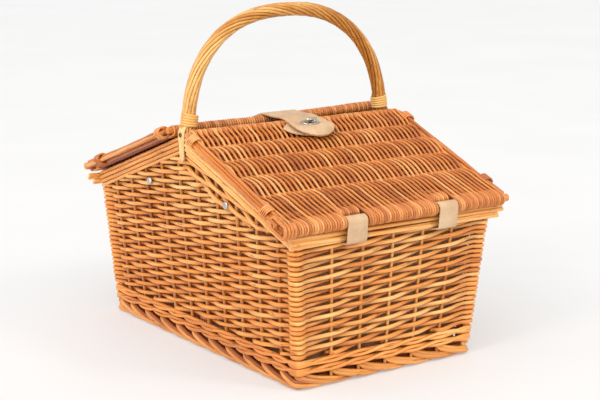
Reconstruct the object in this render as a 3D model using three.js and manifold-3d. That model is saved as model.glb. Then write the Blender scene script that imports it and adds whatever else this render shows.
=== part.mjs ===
// Woven willow picnic hamper with two roof lids and a fixed bow handle.
// Millimetres, +Z up. The origin is on the ground under the middle of the base.
// X runs along the ridge between the two gables, Y along the length between the two end walls.

import * as THREE from 'three';
import { mergeVertices } from 'three/addons/utils/BufferGeometryUtils.js';
import Module from 'manifold-3d';

const wasm = await Module();
wasm.setup();

// Driving dimensions

const clearance = 0.3;

const baseHalfX = 139.5;
const baseHalfY = 218;
const eaveHalfX = 156;
const eaveHeight = 181;
const wallThickness = 11.5;
const rowPitch = 6.25;
const waleRows = 3;
const weaverSwing = 2.7;
const endStakeSpacing = 42;
const endStakeCount = 5;
const gableStakeSpacing = 40;
const gableStakeCount = 10;

const footHeight = 18;
const footWidth = 17;
const footProud = 1.5;
const footRounding = 6;
const baseThickness = 11;
const baseLift = 3;
const baseStickCount = 7;
const baseStickSpacing = 35;
const baseWeaverPitch = 6.6;
const baseWeaverSwing = 2.4;

const postRadius = 6;
const postInset = 8;
const postEndRoom = 0.8;

const rimRodRadius = 3.9;
const rimHalfLength = 167;

const gableRodRadius = 4;
const gableRodInset = 6;

const lidSlope = THREE.MathUtils.degToRad(20.5);
const lidWeaveHalf = 166;
const lidTop = 6.5;
const lidUnder = 8.5;
const lidWeaverPitch = 3.75;
const lidWeaverSwing = 1.7;
const lidRunLength = 229.28;
const lidStickBays = 5;
const ridgeStickOut = 23.24;
const eaveStickRadius = 6.5;
const eaveStickOverhang = 9;
const eaveRollRadius = 10;
const ridgeStickRadius = 7.3;
const ridgeStickHalf = 172;
const sideRodRadius = 5;
const liningThickness = 2;
const liningHalf = 143;
const liningEaveGap = 3.7;
const liningRidgeGap = 3.7;

// The lids' run carries their hinges outwards, and the eave and its rim rods keep just inside the hinges.
// The hinges rise with the eave, and the gable's rivets and the handle rise with the hinges.
const hingeRise = 26;
const hingeOut = ridgeStickOut + lidRunLength * Math.cos(lidSlope);
const hingeHeight = eaveHeight + hingeRise;
const eaveInset = 8;
const eaveHalfY = hingeOut - eaveInset;
const rimRodInset = 7;
const rimRodOut = hingeOut - rimRodInset;

const loopWidth = 30;
const loopOffset = 71.5;
const loopThickness = 2.2;
const loopSideRoom = 1;
const loopNotchDepth = 14;

const linerThickness = 2;
const linerHem = 3;

const rivetHeadRadius = 4.5;
const rivetHeadHeight = 2;
const rivetTailHeight = 1;
const rivetShankRadius = 1.6;
const gableRivetY = 91;
const gableRivetRise = 3;
const gableRivetHeight = hingeHeight + gableRivetRise;

const bowRadius = 155;
const bowCentreRise = 74;
const bowCentreHeight = hingeHeight + bowCentreRise;
const bowFootRise = 8;
const bowFootHeight = hingeHeight + bowFootRise;
const coreRadius = 6.5;
const twistRadius = 9.4;
const twistStrands = 7;
const twistTurns = 2;
const strandRelief = 0.6;
const twistBoreRoom = 1.1;
const bindingRise = 87;
const bindingBottom = hingeHeight + bindingRise;
const bindingLength = 18;
const bindingTop = bindingBottom + bindingLength;
const bindingTurns = 5;
const bindingSides = 14;
const bindingThickness = 1.8;
const tailWidthTop = 16;
const tailWidthTip = 8;
const tailTipRise = 43;
const tailTipHeight = hingeHeight + tailTipRise;
const tailThickness = 2.2;
const nailRise = 78;
const nailHeight = hingeHeight + nailRise;
const nailHeadRadius = 3;
const nailHeadHeight = 1.6;
const nailShankRadius = 1.2;
const nailGrip = 6;

const strapWidth = 50;
const strapThickness = 3;
const strapRoot = 15.5;
const strapTailEnd = 62;
const strapTipReach = 62;
const strapTongueSlope = THREE.MathUtils.degToRad(11.6);
const strapRivetFromEnd = 12;
const patchHalfWidth = 42.5;
const patchThickness = 2;
const patchEarsBelowRidge = 19;
const patchTopBelowRidge = 9;
const patchDepth = 24;
const claspBelowRidge = 23;
const claspPlateLength = 26;
const claspPlateWidth = 14;
const claspPlateThickness = 1.2;
const claspPostRadius = 2.4;
const slotLength = 20;
const slotWidth = 10.5;
const eyeletRim = 3;
const eyeletThickness = 1;
const knobLength = 17;
const knobWidth = 5;
const knobThickness = 3.6;
const knobBevel = 0.8;
const knobAboveEyelet = 0.8;

// Finishes

const finish = (color, roughness, metalness = 0) =>
  new THREE.MeshStandardMaterial({ color, roughness, metalness });
const wallWillow = finish(0xd9984f, 0.6);
const lidWillow = finish(0xc17a43, 0.6);
const rodWillow = finish(0xe0a860, 0.55);
const handleWillow = finish(0xd9a255, 0.55);
const paleCane = finish(0xe8cc98, 0.6);
const leather = finish(0xd9c39a, 0.7);
const liningCloth = finish(0x827b76, 0.9);
const nickel = finish(0xc9c9c6, 0.3, 1);
const bronze = finish(0x7a4a26, 0.45, 0.6);

// Solid helpers: a closed geometry becomes a solid for cutting and joining, and comes back

function solid(geometry) {
  const bare = geometry.clone();
  bare.deleteAttribute('normal');
  bare.deleteAttribute('uv');
  const merged = mergeVertices(bare, 1e-4);
  return new wasm.Manifold(new wasm.Mesh({
    numProp: 3,
    vertProperties: new Float32Array(merged.attributes.position.array),
    triVerts: new Uint32Array(merged.index.array),
  }));
}

function geometryOf(body) {
  const mesh = body.getMesh();
  const geometry = new THREE.BufferGeometry();
  geometry.setAttribute('position', new THREE.BufferAttribute(mesh.vertProperties, 3));
  geometry.setIndex(new THREE.BufferAttribute(mesh.triVerts, 1));
  return geometry;
}

const cut = (geometry, ...tools) =>
  geometryOf(tools.reduce((body, tool) => body.subtract(solid(tool)), solid(geometry)));
const clip = (geometry, ...tools) =>
  geometryOf(tools.reduce((body, tool) => body.intersect(solid(tool)), solid(geometry)));
const join = (geometry, ...tools) =>
  geometryOf(tools.reduce((body, tool) => body.add(solid(tool)), solid(geometry)));

function piece(name, geometry, material) {
  const mesh = new THREE.Mesh(geometry, material);
  mesh.name = name;
  return mesh;
}

// A straight round rod between two points
function rod(from, to, radius, sides = 12) {
  const along = to.clone().sub(from);
  const geometry = new THREE.CylinderGeometry(radius, radius, along.length(), sides);
  const cylinderAxis = new THREE.Vector3(0, 1, 0);
  const turn = new THREE.Quaternion().setFromUnitVectors(cylinderAxis, along.clone().normalize());
  geometry.applyQuaternion(turn);
  const middle = from.clone().add(to).multiplyScalar(0.5);
  return geometry.translate(middle.x, middle.y, middle.z);
}

const rodAlongX = (halfLength, y, z, radius, sides) =>
  rod(new THREE.Vector3(-halfLength, y, z), new THREE.Vector3(halfLength, y, z), radius, sides);

// A box given by its low and high corners
function block(low, high) {
  const size = high.clone().sub(low);
  const geometry = new THREE.BoxGeometry(size.x, size.y, size.z);
  return geometry.translate(low.x + size.x / 2, low.y + size.y / 2, low.z + size.z / 2);
}

// A six-sided solid between two four-cornered faces, both listed anticlockwise seen from above
function wedge(lower, upper) {
  const corners = [...lower, ...upper];
  const faces = [[0, 3, 2, 1], [4, 5, 6, 7], [0, 1, 5, 4], [1, 2, 6, 5], [2, 3, 7, 6], [3, 0, 4, 7]];
  const index = faces.flatMap(([a, b, c, d]) => [a, b, c, a, c, d]);
  const geometry = new THREE.BufferGeometry();
  geometry.setAttribute('position', new THREE.Float32BufferAttribute(corners.flatMap((p) => p.toArray()), 3));
  return geometry.setIndex(index);
}

const rectangle = (halfX, halfY, z) => [
  new THREE.Vector3(-halfX, -halfY, z), new THREE.Vector3(halfX, -halfY, z),
  new THREE.Vector3(halfX, halfY, z), new THREE.Vector3(-halfX, halfY, z),
];

// An outline drawn in the Y-Z plane and carried along X
function alongX(shape, halfLength, curveSegments = 6) {
  const geometry = plate(shape, 2 * halfLength, curveSegments).translate(0, 0, -halfLength);
  const axes = new THREE.Matrix4().makeBasis(
    new THREE.Vector3(0, 1, 0), new THREE.Vector3(0, 0, 1), new THREE.Vector3(1, 0, 0));
  return geometry.applyMatrix4(axes);
}

const outline = (points) => new THREE.Shape(points.map(([a, b]) => new THREE.Vector2(a, b)));

// A slot or bar with round ends, long along its first axis
function stadium(length, width) {
  const radius = width / 2;
  const straight = length / 2 - radius;
  const shape = new THREE.Shape();
  shape.absarc(straight, 0, radius, -Math.PI / 2, Math.PI / 2);
  shape.absarc(-straight, 0, radius, Math.PI / 2, 3 * Math.PI / 2);
  return shape;
}

function plate(shape, thickness, curveSegments = 6) {
  return new THREE.ExtrudeGeometry(shape, { depth: thickness, bevelEnabled: false, curveSegments });
}

// Faces of the leaning walls, and the roof planes that the lids lie on

const outerX = (z) => baseHalfX + (eaveHalfX - baseHalfX) * z / eaveHeight;
const outerY = (z) => baseHalfY + (eaveHalfY - baseHalfY) * z / eaveHeight;
const roofHeight = (y, offset) =>
  hingeHeight + (hingeOut - Math.abs(y)) * Math.tan(lidSlope) + offset / Math.cos(lidSlope);

const upperRodOffset = -(lidUnder + clearance + gableRodRadius);
const lowerRodOffset = upperRodOffset - 2 * gableRodRadius - clearance;
const gableTopOffset = lowerRodOffset - gableRodRadius - clearance;
const wallFoot = footHeight + clearance;
const peakHeight = roofHeight(0, gableTopOffset);
const coreSlotHalf = coreRadius + clearance;

// A prism under the two roof planes, as wide as asked
function underRoof(offset, halfLength) {
  const reach = 2 * eaveHalfY;
  return alongX(outline([
    [-reach, -1], [reach, -1], [reach, roofHeight(reach, offset)],
    [0, roofHeight(0, offset)], [-reach, roofHeight(reach, offset)],
  ]), halfLength);
}

// A woven sheet: a relief on the outer face, a flat inner face.
// columns and lines are the grid, height(i, j) is the relief, place(u, v, h) sets a point in the basket.
function wovenSheet(columns, lines, thickness, height, place) {
  const lastColumn = columns.length - 1;
  const lastLine = lines.length - 1;
  const points = [];
  lines.forEach((v, j) => columns.forEach((u, i) => points.push(place(u, v, height(i, j)))));
  const at = (i, j) => j * columns.length + i;
  const back = points.length;
  for (const v of [lines[0], lines[lastLine]]) {
    points.push(place(columns[0], v, -thickness), place(columns[lastColumn], v, -thickness));
  }
  const [backLowLeft, backLowRight, backTopLeft, backTopRight] = [back, back + 1, back + 2, back + 3];
  const index = [];
  for (let j = 0; j < lastLine; j += 1) {
    for (let i = 0; i < lastColumn; i += 1) {
      index.push(at(i, j), at(i + 1, j), at(i + 1, j + 1), at(i, j), at(i + 1, j + 1), at(i, j + 1));
    }
  }
  index.push(backLowLeft, backTopLeft, backTopRight, backLowLeft, backTopRight, backLowRight);
  const fan = (hub, rim) => rim.slice(1).forEach((point, k) => index.push(hub, rim[k], point));
  const across = columns.map((_, i) => i);
  const upward = lines.map((_, j) => j);
  fan(backLowLeft, [backLowRight, ...across.map((i) => at(lastColumn - i, 0))]);
  fan(backTopLeft, [...across.map((i) => at(i, lastLine)), backTopRight]);
  fan(backLowLeft, [...upward.map((j) => at(0, j)), backTopLeft]);
  fan(backLowRight, [backTopRight, ...upward.map((j) => at(lastColumn, lastLine - j))]);
  const geometry = new THREE.BufferGeometry();
  geometry.setAttribute('position', new THREE.Float32BufferAttribute(points.flatMap((p) => p.toArray()), 3));
  return geometry.setIndex(index);
}

// Stakes stand at even spacing about the middle of a wall, as shares of its half width at the foot
function stakeShares(count, spacing, halfWidth) {
  const stakes = Array.from({ length: count }, (_, i) => (i - (count - 1) / 2) * spacing / halfWidth);
  return [-1, ...stakes, 1];
}

// Rows of weavers from the foot of a wall up to its top
function rowLines(bottom, top) {
  const rows = Math.round((top - bottom) / rowPitch);
  return Array.from({ length: rows + 1 }, (_, j) => bottom + j * (top - bottom) / rows);
}

// Walls: wale rows at the foot lie proud. Above them each weaver goes before and behind the stakes in turn.
function wall(stakes, top, halfWidth, place) {
  const lines = rowLines(wallFoot, top);
  const lastColumn = stakes.length - 1;
  const relief = (i, j) => {
    const edge = i === 0 || i === lastColumn || j === 0 || j === lines.length - 1;
    if (edge) {
      return -weaverSwing;
    }
    if (j <= waleRows) {
      return weaverSwing;
    }
    return (i + j) % 2 === 0 ? weaverSwing : -weaverSwing;
  };
  return wovenSheet(stakes, lines, wallThickness, relief, (share, z, h) => place(share * halfWidth(z), z, h));
}

const besidePost = postInset + postRadius + clearance;
const endHalfWidth = (z) => outerX(z) - besidePost;
const gableHalfWidth = (z) => outerY(z) - besidePost;

const handleSlot = block(
  new THREE.Vector3(-2 * bowRadius, -coreSlotHalf, bowFootHeight - clearance),
  new THREE.Vector3(2 * bowRadius, coreSlotHalf, bowCentreHeight));

const rivetHole = (y) => rodAlongX(2 * bowRadius, y, gableRivetHeight, rivetShankRadius + clearance);
const rivetHoles = [rivetHole(-gableRivetY), rivetHole(gableRivetY)];

function endWall() {
  const stakes = stakeShares(endStakeCount, endStakeSpacing, endHalfWidth(0));
  const sheet = wall(stakes, eaveHeight, endHalfWidth,
    (x, z, h) => new THREE.Vector3(x, -(outerY(z) - weaverSwing + h), z));
  const notchHalf = loopWidth / 2 + loopSideRoom;
  const notches = [-loopOffset, loopOffset].map((x) => block(
    new THREE.Vector3(x - notchHalf, -2 * eaveHalfY, eaveHeight - loopThickness - loopSideRoom),
    new THREE.Vector3(x + notchHalf, 0, 2 * eaveHeight)));
  return cut(sheet, ...notches);
}

function gableWall() {
  const stakes = stakeShares(gableStakeCount, gableStakeSpacing, gableHalfWidth(0));
  const rows = Math.ceil((peakHeight + clearance - wallFoot) / rowPitch);
  const sheet = wall(stakes, wallFoot + rows * rowPitch, gableHalfWidth,
    (y, z, h) => new THREE.Vector3(-(outerX(z) - weaverSwing + h), -y, z));
  return cut(clip(sheet, underRoof(gableTopOffset, 2 * bowRadius)), handleSlot, ...rivetHoles);
}

// Foot border bars, flat underneath and rounded outside
function footBar(halfLength, outer) {
  const shape = new THREE.Shape();
  shape.moveTo(-outer + footWidth, 0);
  shape.lineTo(-outer + footWidth, footHeight);
  shape.absarc(-outer + footRounding, footHeight - footRounding, footRounding, Math.PI / 2, Math.PI);
  shape.lineTo(-outer, 0);
  return alongX(shape, halfLength, 3);
}

const footOuterX = baseHalfX + footProud;
const footOuterY = baseHalfY + footProud;

// Hinge loop: a leather band pulled tight round the eave stick and the two rim rods
const rimLowerHeight = eaveHeight + clearance + rimRodRadius;
const rimUpperHeight = rimLowerHeight + 2 * rimRodRadius + clearance;

const bandSides = 12;

function tightBand(circles, grow) {
  const sides = bandSides;
  const points = circles.flatMap(({ y, z, radius }) => Array.from({ length: sides }, (_, k) => {
    const angle = 2 * Math.PI * k / sides;
    return [y + (radius + grow) * Math.cos(angle), z + (radius + grow) * Math.sin(angle)];
  }));
  points.sort((p, q) => p[0] - q[0] || p[1] - q[1]);
  const turnsLeft = (a, b, c) => (b[0] - a[0]) * (c[1] - a[1]) - (b[1] - a[1]) * (c[0] - a[0]) > 1e-9;
  const halfHull = (list) => {
    const hull = [];
    for (const point of list) {
      while (hull.length > 1 && !turnsLeft(hull[hull.length - 2], hull[hull.length - 1], point)) {
        hull.pop();
      }
      hull.push(point);
    }
    return hull.slice(0, -1);
  };
  return [...halfHull(points), ...halfHull(points.reverse())];
}

function hingeLoop() {
  const wrapped = [
    { y: -hingeOut, z: hingeHeight, radius: eaveStickRadius },
    { y: -rimRodOut, z: rimUpperHeight, radius: rimRodRadius },
    { y: -rimRodOut, z: rimLowerHeight, radius: rimRodRadius },
  ];
  const roundness = 1 / Math.cos(Math.PI / bandSides);
  const slack = clearance * roundness;
  const shape = outline(tightBand(wrapped, slack + eaveStickRadius * (roundness - 1)));
  const outer = outline(tightBand(wrapped, slack + loopThickness));
  outer.holes.push(shape);
  return alongX(outer, loopWidth / 2);
}

// Rivet with a domed head on the outer face, a shank and a flat inner head, along its own Y axis
function rivet(grip) {
  const dome = [rivetHeadRadius * 0.6, rivetHeadHeight * 0.8];
  const profile = [[0, -grip - rivetTailHeight], [rivetHeadRadius, -grip - rivetTailHeight],
    [rivetHeadRadius, -grip], [rivetShankRadius, -grip], [rivetShankRadius, 0], [rivetHeadRadius, 0],
    dome, [0, rivetHeadHeight]];
  return new THREE.LatheGeometry(profile.map(([r, y]) => new THREE.Vector2(r, y)), 10);
}

// The liner fills the foot border at its floor and follows the walls up to the peak
const linerFloor = baseLift + baseThickness + clearance;
function linerHalf(z, footOuter, wallOuter) {
  const low = footOuter - footWidth - 2 * clearance;
  const high = wallOuter(peakHeight) - weaverSwing - wallThickness - 2 * clearance;
  return low + (high - low) * (z - linerFloor) / (peakHeight - linerFloor);
}

const rivetOuterX = outerX(gableRivetHeight) + clearance;
const linerInnerX = linerHalf(gableRivetHeight, footOuterX, outerX) - linerThickness;
const rivetGrip = rivetOuterX - linerInnerX + 3 * clearance;

// One half of the basket: an end wall, a gable wall and all that belongs to them.
// The other half is the same half turned round the upright axis.
function basketHalf(end, otherEnd, side, otherSide) {
  const half = new THREE.Group();
  half.add(piece(`wall_${end}`, endWall(), wallWillow));
  half.add(piece(`wall_${side}`, gableWall(), wallWillow));

  half.add(piece(`foot_border_${end}`, footBar(footOuterX, footOuterY), rodWillow));
  const sideBar = footBar(footOuterY - footWidth - clearance, footOuterX).rotateZ(-Math.PI / 2);
  half.add(piece(`foot_border_${side}`, sideBar, rodWillow));

  for (const [corner, sign] of [[side, -1], [otherSide, 1]]) {
    const axis = (z) => new THREE.Vector3(sign * (outerX(z) - postInset), -(outerY(z) - postInset), z);
    const post = rod(axis(wallFoot + postEndRoom), axis(eaveHeight - postEndRoom), postRadius);
    half.add(piece(`corner_post_${end}_${corner}`, post, rodWillow));
  }

  for (const [level, z] of [['lower', rimLowerHeight], ['upper', rimUpperHeight]]) {
    const rim = rodAlongX(rimHalfLength, -rimRodOut, z, rimRodRadius);
    half.add(piece(`rim_${end}_${level}_rod`, rim, rodWillow));
  }

  const rodEnd = rimRodOut - rimRodRadius - 2 * clearance - gableRodRadius * Math.sin(lidSlope);
  for (const [slope, sign] of [[end, -1], [otherEnd, 1]]) {
    for (const [level, offset] of [['upper', upperRodOffset], ['lower', lowerRodOffset]]) {
      const peak = coreSlotHalf + gableRodRadius * Math.sin(lidSlope);
      const axis = (y) => {
        const z = roofHeight(y, offset);
        return new THREE.Vector3(-(outerX(z) - gableRodInset), sign * y, z);
      };
      const border = rod(axis(rodEnd), axis(peak), gableRodRadius);
      half.add(piece(`gable_rod_${side}_${slope}_${level}`, border, rodWillow));
    }
  }

  for (const [place, sign] of [[side, -1], [otherSide, 1]]) {
    const loop = piece(`hinge_loop_${end}_${place}`, hingeLoop(), leather);
    loop.position.x = sign * loopOffset;
    half.add(loop);
  }

  for (const [place, sign] of [[end, -1], [otherEnd, 1]]) {
    const stud = piece(`liner_rivet_${side}_${place}`, rivet(rivetGrip), nickel);
    stud.position.set(-rivetOuterX, sign * gableRivetY, gableRivetHeight);
    stud.rotation.z = Math.PI / 2;
    half.add(stud);
  }
  return half;
}

// Base panel: flat on top, and woven below, where its weavers go under and over the base's sticks
function basePanel() {
  const halfX = footOuterX - footWidth - clearance;
  const halfY = footOuterY - footWidth - clearance;
  const middle = (baseStickCount - 1) / 2;
  const sticks = Array.from({ length: baseStickCount }, (_, i) => (i - middle) * baseStickSpacing);
  const columns = [-halfX, ...sticks, halfX];
  const rows = Math.round(2 * halfY / baseWeaverPitch);
  const lines = Array.from({ length: rows + 1 }, (_, j) => halfY * (2 * j / rows - 1));
  const relief = (i, j) => {
    const edge = i === 0 || i === columns.length - 1 || j === 0 || j === rows;
    return !edge && (i + j) % 2 === 0 ? baseWeaverSwing : -baseWeaverSwing;
  };
  return wovenSheet(columns, lines, baseThickness - baseWeaverSwing, relief,
    (x, y, h) => new THREE.Vector3(x, -y, baseLift + baseWeaverSwing - h));
}

// The cloth liner that lines the compartment

function liner() {
  const shell = (bottom, inset) => {
    const layer = (z) => rectangle(
      linerHalf(z, footOuterX, outerX) - inset, linerHalf(z, footOuterY, outerY) - inset, z);
    return wedge(layer(bottom), layer(peakHeight));
  };
  const hollow = cut(shell(linerFloor, 0), shell(linerFloor + linerThickness, linerThickness));
  const roofed = clip(hollow, underRoof(gableTopOffset - linerHem, 2 * bowRadius));
  return cut(roofed, handleSlot, ...rivetHoles);
}

// Bow handle: a willow core, rods twisted round it, and flat cane bindings at its feet

class BowCurve extends THREE.Curve {
  constructor(footHeight) {
    super();
    this.leg = bowCentreHeight - footHeight;
    this.length = 2 * this.leg + Math.PI * bowRadius;
  }

  getPoint(t, target = new THREE.Vector3()) {
    const run = t * this.length;
    const arc = Math.PI * bowRadius;
    if (run < this.leg) {
      return target.set(-bowRadius, 0, bowCentreHeight - this.leg + run);
    }
    if (run > this.leg + arc) {
      return target.set(bowRadius, 0, bowCentreHeight - (run - this.leg - arc));
    }
    const angle = Math.PI - (run - this.leg) / bowRadius;
    return target.set(bowRadius * Math.cos(angle), 0, bowCentreHeight + bowRadius * Math.sin(angle));
  }
}

// Distance of the bow's axis from the middle at a height, and how far it leans inwards there
const bowLean = (z) => Math.asin(Math.max(0, z - bowCentreHeight) / bowRadius);
const bowX = (z) => bowRadius * Math.cos(bowLean(z));

const circle = (radius, sides) => outline(Array.from({ length: sides }, (_, k) => [
  radius * Math.cos(2 * Math.PI * k / sides), radius * Math.sin(2 * Math.PI * k / sides)]));

function handleCore() {
  const path = new BowCurve(bowFootHeight);
  const geometry = new THREE.ExtrudeGeometry(circle(coreRadius, 8), { steps: 40, extrudePath: path });
  return cut(geometry, ...[-1, 1].map((sign) => nailHole(sign)));
}

// The twisted rods: a lobed section that turns as it follows the bow, bored for the core
function handleTwist() {
  const path = new BowCurve(bindingBottom - clearance);
  const rings = 44;
  const boreRings = 22;
  const lobePoints = 2 * twistStrands;
  const borePoints = 8;
  const points = [];
  const index = [];
  const ring = (t, count, turns, radiusAt) => {
    const centre = path.getPoint(t);
    const tangent = path.getTangent(t);
    const outward = new THREE.Vector3(-tangent.z, 0, tangent.x);
    for (let k = 0; k < count; k += 1) {
      const angle = 2 * Math.PI * (k / count - turns * t);
      const reach = radiusAt(k);
      points.push(centre.clone()
        .addScaledVector(outward, reach * Math.cos(angle))
        .addScaledVector(new THREE.Vector3(0, 1, 0), reach * Math.sin(angle)));
    }
  };
  const skin = (first, count, steps, flip) => {
    for (let j = 0; j < steps; j += 1) {
      for (let k = 0; k < count; k += 1) {
        const next = (k + 1) % count;
        const a = first + j * count + k;
        const b = first + j * count + next;
        const [c, d] = [b + count, a + count];
        index.push(...(flip ? [a, c, b, a, d, c] : [a, b, c, a, c, d]));
      }
    }
  };
  for (let j = 0; j <= rings; j += 1) {
    ring(j / rings, lobePoints, twistTurns, (k) => twistRadius - (k % 2) * 2 * strandRelief);
  }
  const boreStart = points.length;
  for (let j = 0; j <= boreRings; j += 1) {
    ring(j / boreRings, borePoints, 0, () => coreRadius + twistBoreRoom);
  }
  skin(0, lobePoints, rings, true);
  skin(boreStart, borePoints, boreRings, false);
  zipRing(index, 0, lobePoints, boreStart, borePoints, false);
  zipRing(index, rings * lobePoints, lobePoints, boreStart + boreRings * borePoints, borePoints, true);
  const geometry = new THREE.BufferGeometry();
  geometry.setAttribute('position', new THREE.Float32BufferAttribute(points.flatMap((p) => p.toArray()), 3));
  return geometry.setIndex(index);
}

// Close the flat end of a bored tube between its outer and inner rings of points
function zipRing(index, outer, outerCount, inner, innerCount, flip) {
  let a = 0;
  let b = 0;
  while (a < outerCount || b < innerCount) {
    const stepOuter = b === innerCount || (a < outerCount && (a + 1) / outerCount <= (b + 1) / innerCount);
    const o = outer + a % outerCount;
    const i = inner + b % innerCount;
    if (stepOuter) {
      const next = outer + (a + 1) % outerCount;
      index.push(...(flip ? [o, i, next] : [o, next, i]));
      a += 1;
    } else {
      const next = inner + (b + 1) % innerCount;
      index.push(...(flip ? [o, i, next] : [o, next, i]));
      b += 1;
    }
  }
}

// The binding ends in a tapered tail that lies down the outside of the gable's peak
const bindingBore = (twistRadius + 2 * clearance) / Math.cos(Math.PI / bindingSides);
const bindingOuter = bindingBore + bindingThickness;
const tailTipX = outerX(tailTipHeight) + clearance;
const tailTop = bindingBottom + (bindingTop - bindingBottom) / bindingTurns;
const tailTopX = bowX(tailTop) + bindingBore + clearance;

function nailHole(sign) {
  const reach = sign * bowRadius;
  return rod(new THREE.Vector3(reach, 0, nailHeight),
    new THREE.Vector3(sign * (bowRadius + 2 * bindingOuter), 0, nailHeight), nailShankRadius + clearance, 8);
}

function binding(sign) {
  const halfHeight = (bindingTop - bindingBottom) / 2;
  const turnHeight = 2 * halfHeight / bindingTurns;
  const valley = bindingOuter - bindingThickness / 3;
  const profile = [[bindingBore, -halfHeight]];
  for (let turn = 0; turn < bindingTurns; turn += 1) {
    const z = -halfHeight + turn * turnHeight;
    profile.push([valley, z], [bindingOuter, z + turnHeight / 2]);
  }
  profile.push([valley, halfHeight], [bindingBore, halfHeight], [bindingBore, -halfHeight]);
  const coil = new THREE.LatheGeometry(profile.map(([r, z]) => new THREE.Vector2(r, z)), bindingSides);
  const middle = bindingBottom + halfHeight;
  coil.rotateX(Math.PI / 2);
  coil.rotateY(-sign * bowLean(middle));
  coil.translate(sign * bowX(middle), 0, middle);
  const edge = (x, width, z) => rectangle(tailThickness / 2, width / 2, z)
    .map((corner) => corner.setX(corner.x + sign * (x + tailThickness / 2)));
  const tail = wedge(edge(tailTipX, tailWidthTip, tailTipHeight), edge(tailTopX, tailWidthTop, tailTop));
  return cut(join(coil, tail), nailHole(sign));
}

function nail() {
  const dome = [nailHeadRadius * 0.7, nailHeadHeight * 0.75];
  const profile = [[0, nailHeadHeight], dome, [nailHeadRadius, 0], [nailShankRadius, 0],
    [nailShankRadius, -nailGrip - nailHeadRadius], [0, -nailGrip - nailHeadRadius]];
  return new THREE.LatheGeometry(profile.reverse().map(([r, y]) => new THREE.Vector2(r, y)), 10);
}

const tailShare = (nailHeight - tailTipHeight) / (tailTop - tailTipHeight);
const nailX = tailTipX + (tailTopX - tailTipX) * tailShare + tailThickness + 2 * clearance;

function handle() {
  const group = new THREE.Group();
  group.add(piece('handle_core', handleCore(), handleWillow));
  group.add(piece('handle_twist', handleTwist(), handleWillow));
  for (const [side, sign] of [['left', -1], ['right', 1]]) {
    group.add(piece(`handle_binding_${side}`, binding(sign), paleCane));
    const pin = piece(`handle_nail_${side}`, nail(), bronze);
    pin.position.set(sign * nailX, 0, nailHeight);
    pin.rotation.z = -sign * Math.PI / 2;
    group.add(pin);
  }
  return group;
}

// Lids. In a lid's own frame the eave stick is the X axis, Y runs up the slope and Z is the roof's normal.

function lidWeave() {
  const weavers = Math.round(2 * lidWeaveHalf / lidWeaverPitch);
  const columns = Array.from({ length: weavers + 1 }, (_, i) => lidWeaveHalf * (2 * i / weavers - 1));
  const lines = Array.from({ length: 2 * lidStickBays + 1 }, (_, j) => lidRunLength * j / (2 * lidStickBays));
  const relief = (i, j) => {
    const edge = i === 0 || i === weavers || j === 0 || j === lines.length - 1;
    if (edge || j % 2 === 1) {
      return -lidWeaverSwing;
    }
    return (i + j / 2) % 2 === 0 ? 0 : -2 * lidWeaverSwing;
  };
  const sheet = wovenSheet(columns, lines, lidTop + lidUnder, relief,
    (x, y, h) => new THREE.Vector3(x, y, lidTop + h));
  const roll = rodAlongX(lidWeaveHalf, 0, 0, eaveRollRadius, 16);
  const notchHalf = loopWidth / 2 + loopSideRoom;
  const notches = [-loopOffset, loopOffset].map((x) => block(
    new THREE.Vector3(x - notchHalf, -2 * eaveRollRadius, -2 * eaveRollRadius),
    new THREE.Vector3(x + notchHalf, loopNotchDepth, 2 * eaveRollRadius)));
  const eaveBore = rodAlongX(2 * lidWeaveHalf, 0, 0, eaveStickRadius + clearance);
  const ridgeBore = rodAlongX(2 * lidWeaveHalf, lidRunLength, 0, ridgeStickRadius + clearance);
  return cut(join(sheet, roll), eaveBore, ridgeBore, ...notches);
}

const sideRodX = lidWeaveHalf + clearance + sideRodRadius;

function lid(end, left, right, holes = []) {
  const group = new THREE.Group();
  const eaveHalf = lidWeaveHalf + eaveStickOverhang;
  group.add(piece(`${end}_lid_weave`, cut(lidWeave(), ...holes), lidWillow));
  group.add(piece(`${end}_lid_eave_stick`, rodAlongX(eaveHalf, 0, 0, eaveStickRadius), rodWillow));
  const ridgeStick = rodAlongX(ridgeStickHalf, lidRunLength, 0, ridgeStickRadius);
  group.add(piece(`${end}_lid_ridge_stick`, ridgeStick, lidWillow));
  for (const [side, sign] of [[left, -1], [right, 1]]) {
    const low = new THREE.Vector3(sign * sideRodX, eaveStickRadius + clearance, 0);
    const high = new THREE.Vector3(sign * sideRodX, lidRunLength - ridgeStickRadius - clearance, 0);
    group.add(piece(`${end}_lid_side_rod_${side}`, rod(low, high, sideRodRadius), rodWillow));
  }
  const liningTop = -lidUnder - clearance;
  const lining = block(
    new THREE.Vector3(-liningHalf, loopNotchDepth + liningEaveGap, liningTop - liningThickness),
    new THREE.Vector3(liningHalf, lidRunLength - ridgeStickRadius - liningRidgeGap, liningTop));
  group.add(piece(`${end}_lid_lining`, cut(lining, ...holes), liningCloth));
  group.position.set(0, -hingeOut, hingeHeight);
  group.rotation.x = lidSlope;
  return group;
}

// Closure: a leather strap fixed to the back lid, its tongue over a turn-lock on the front lid

const stickTop = roofHeight(ridgeStickOut, ridgeStickRadius + clearance);
const strapLevel = stickTop + clearance;
const tonguePoint = (y) => strapLevel - (Math.abs(y) - ridgeStickOut) * Math.tan(strapTongueSlope);

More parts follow.
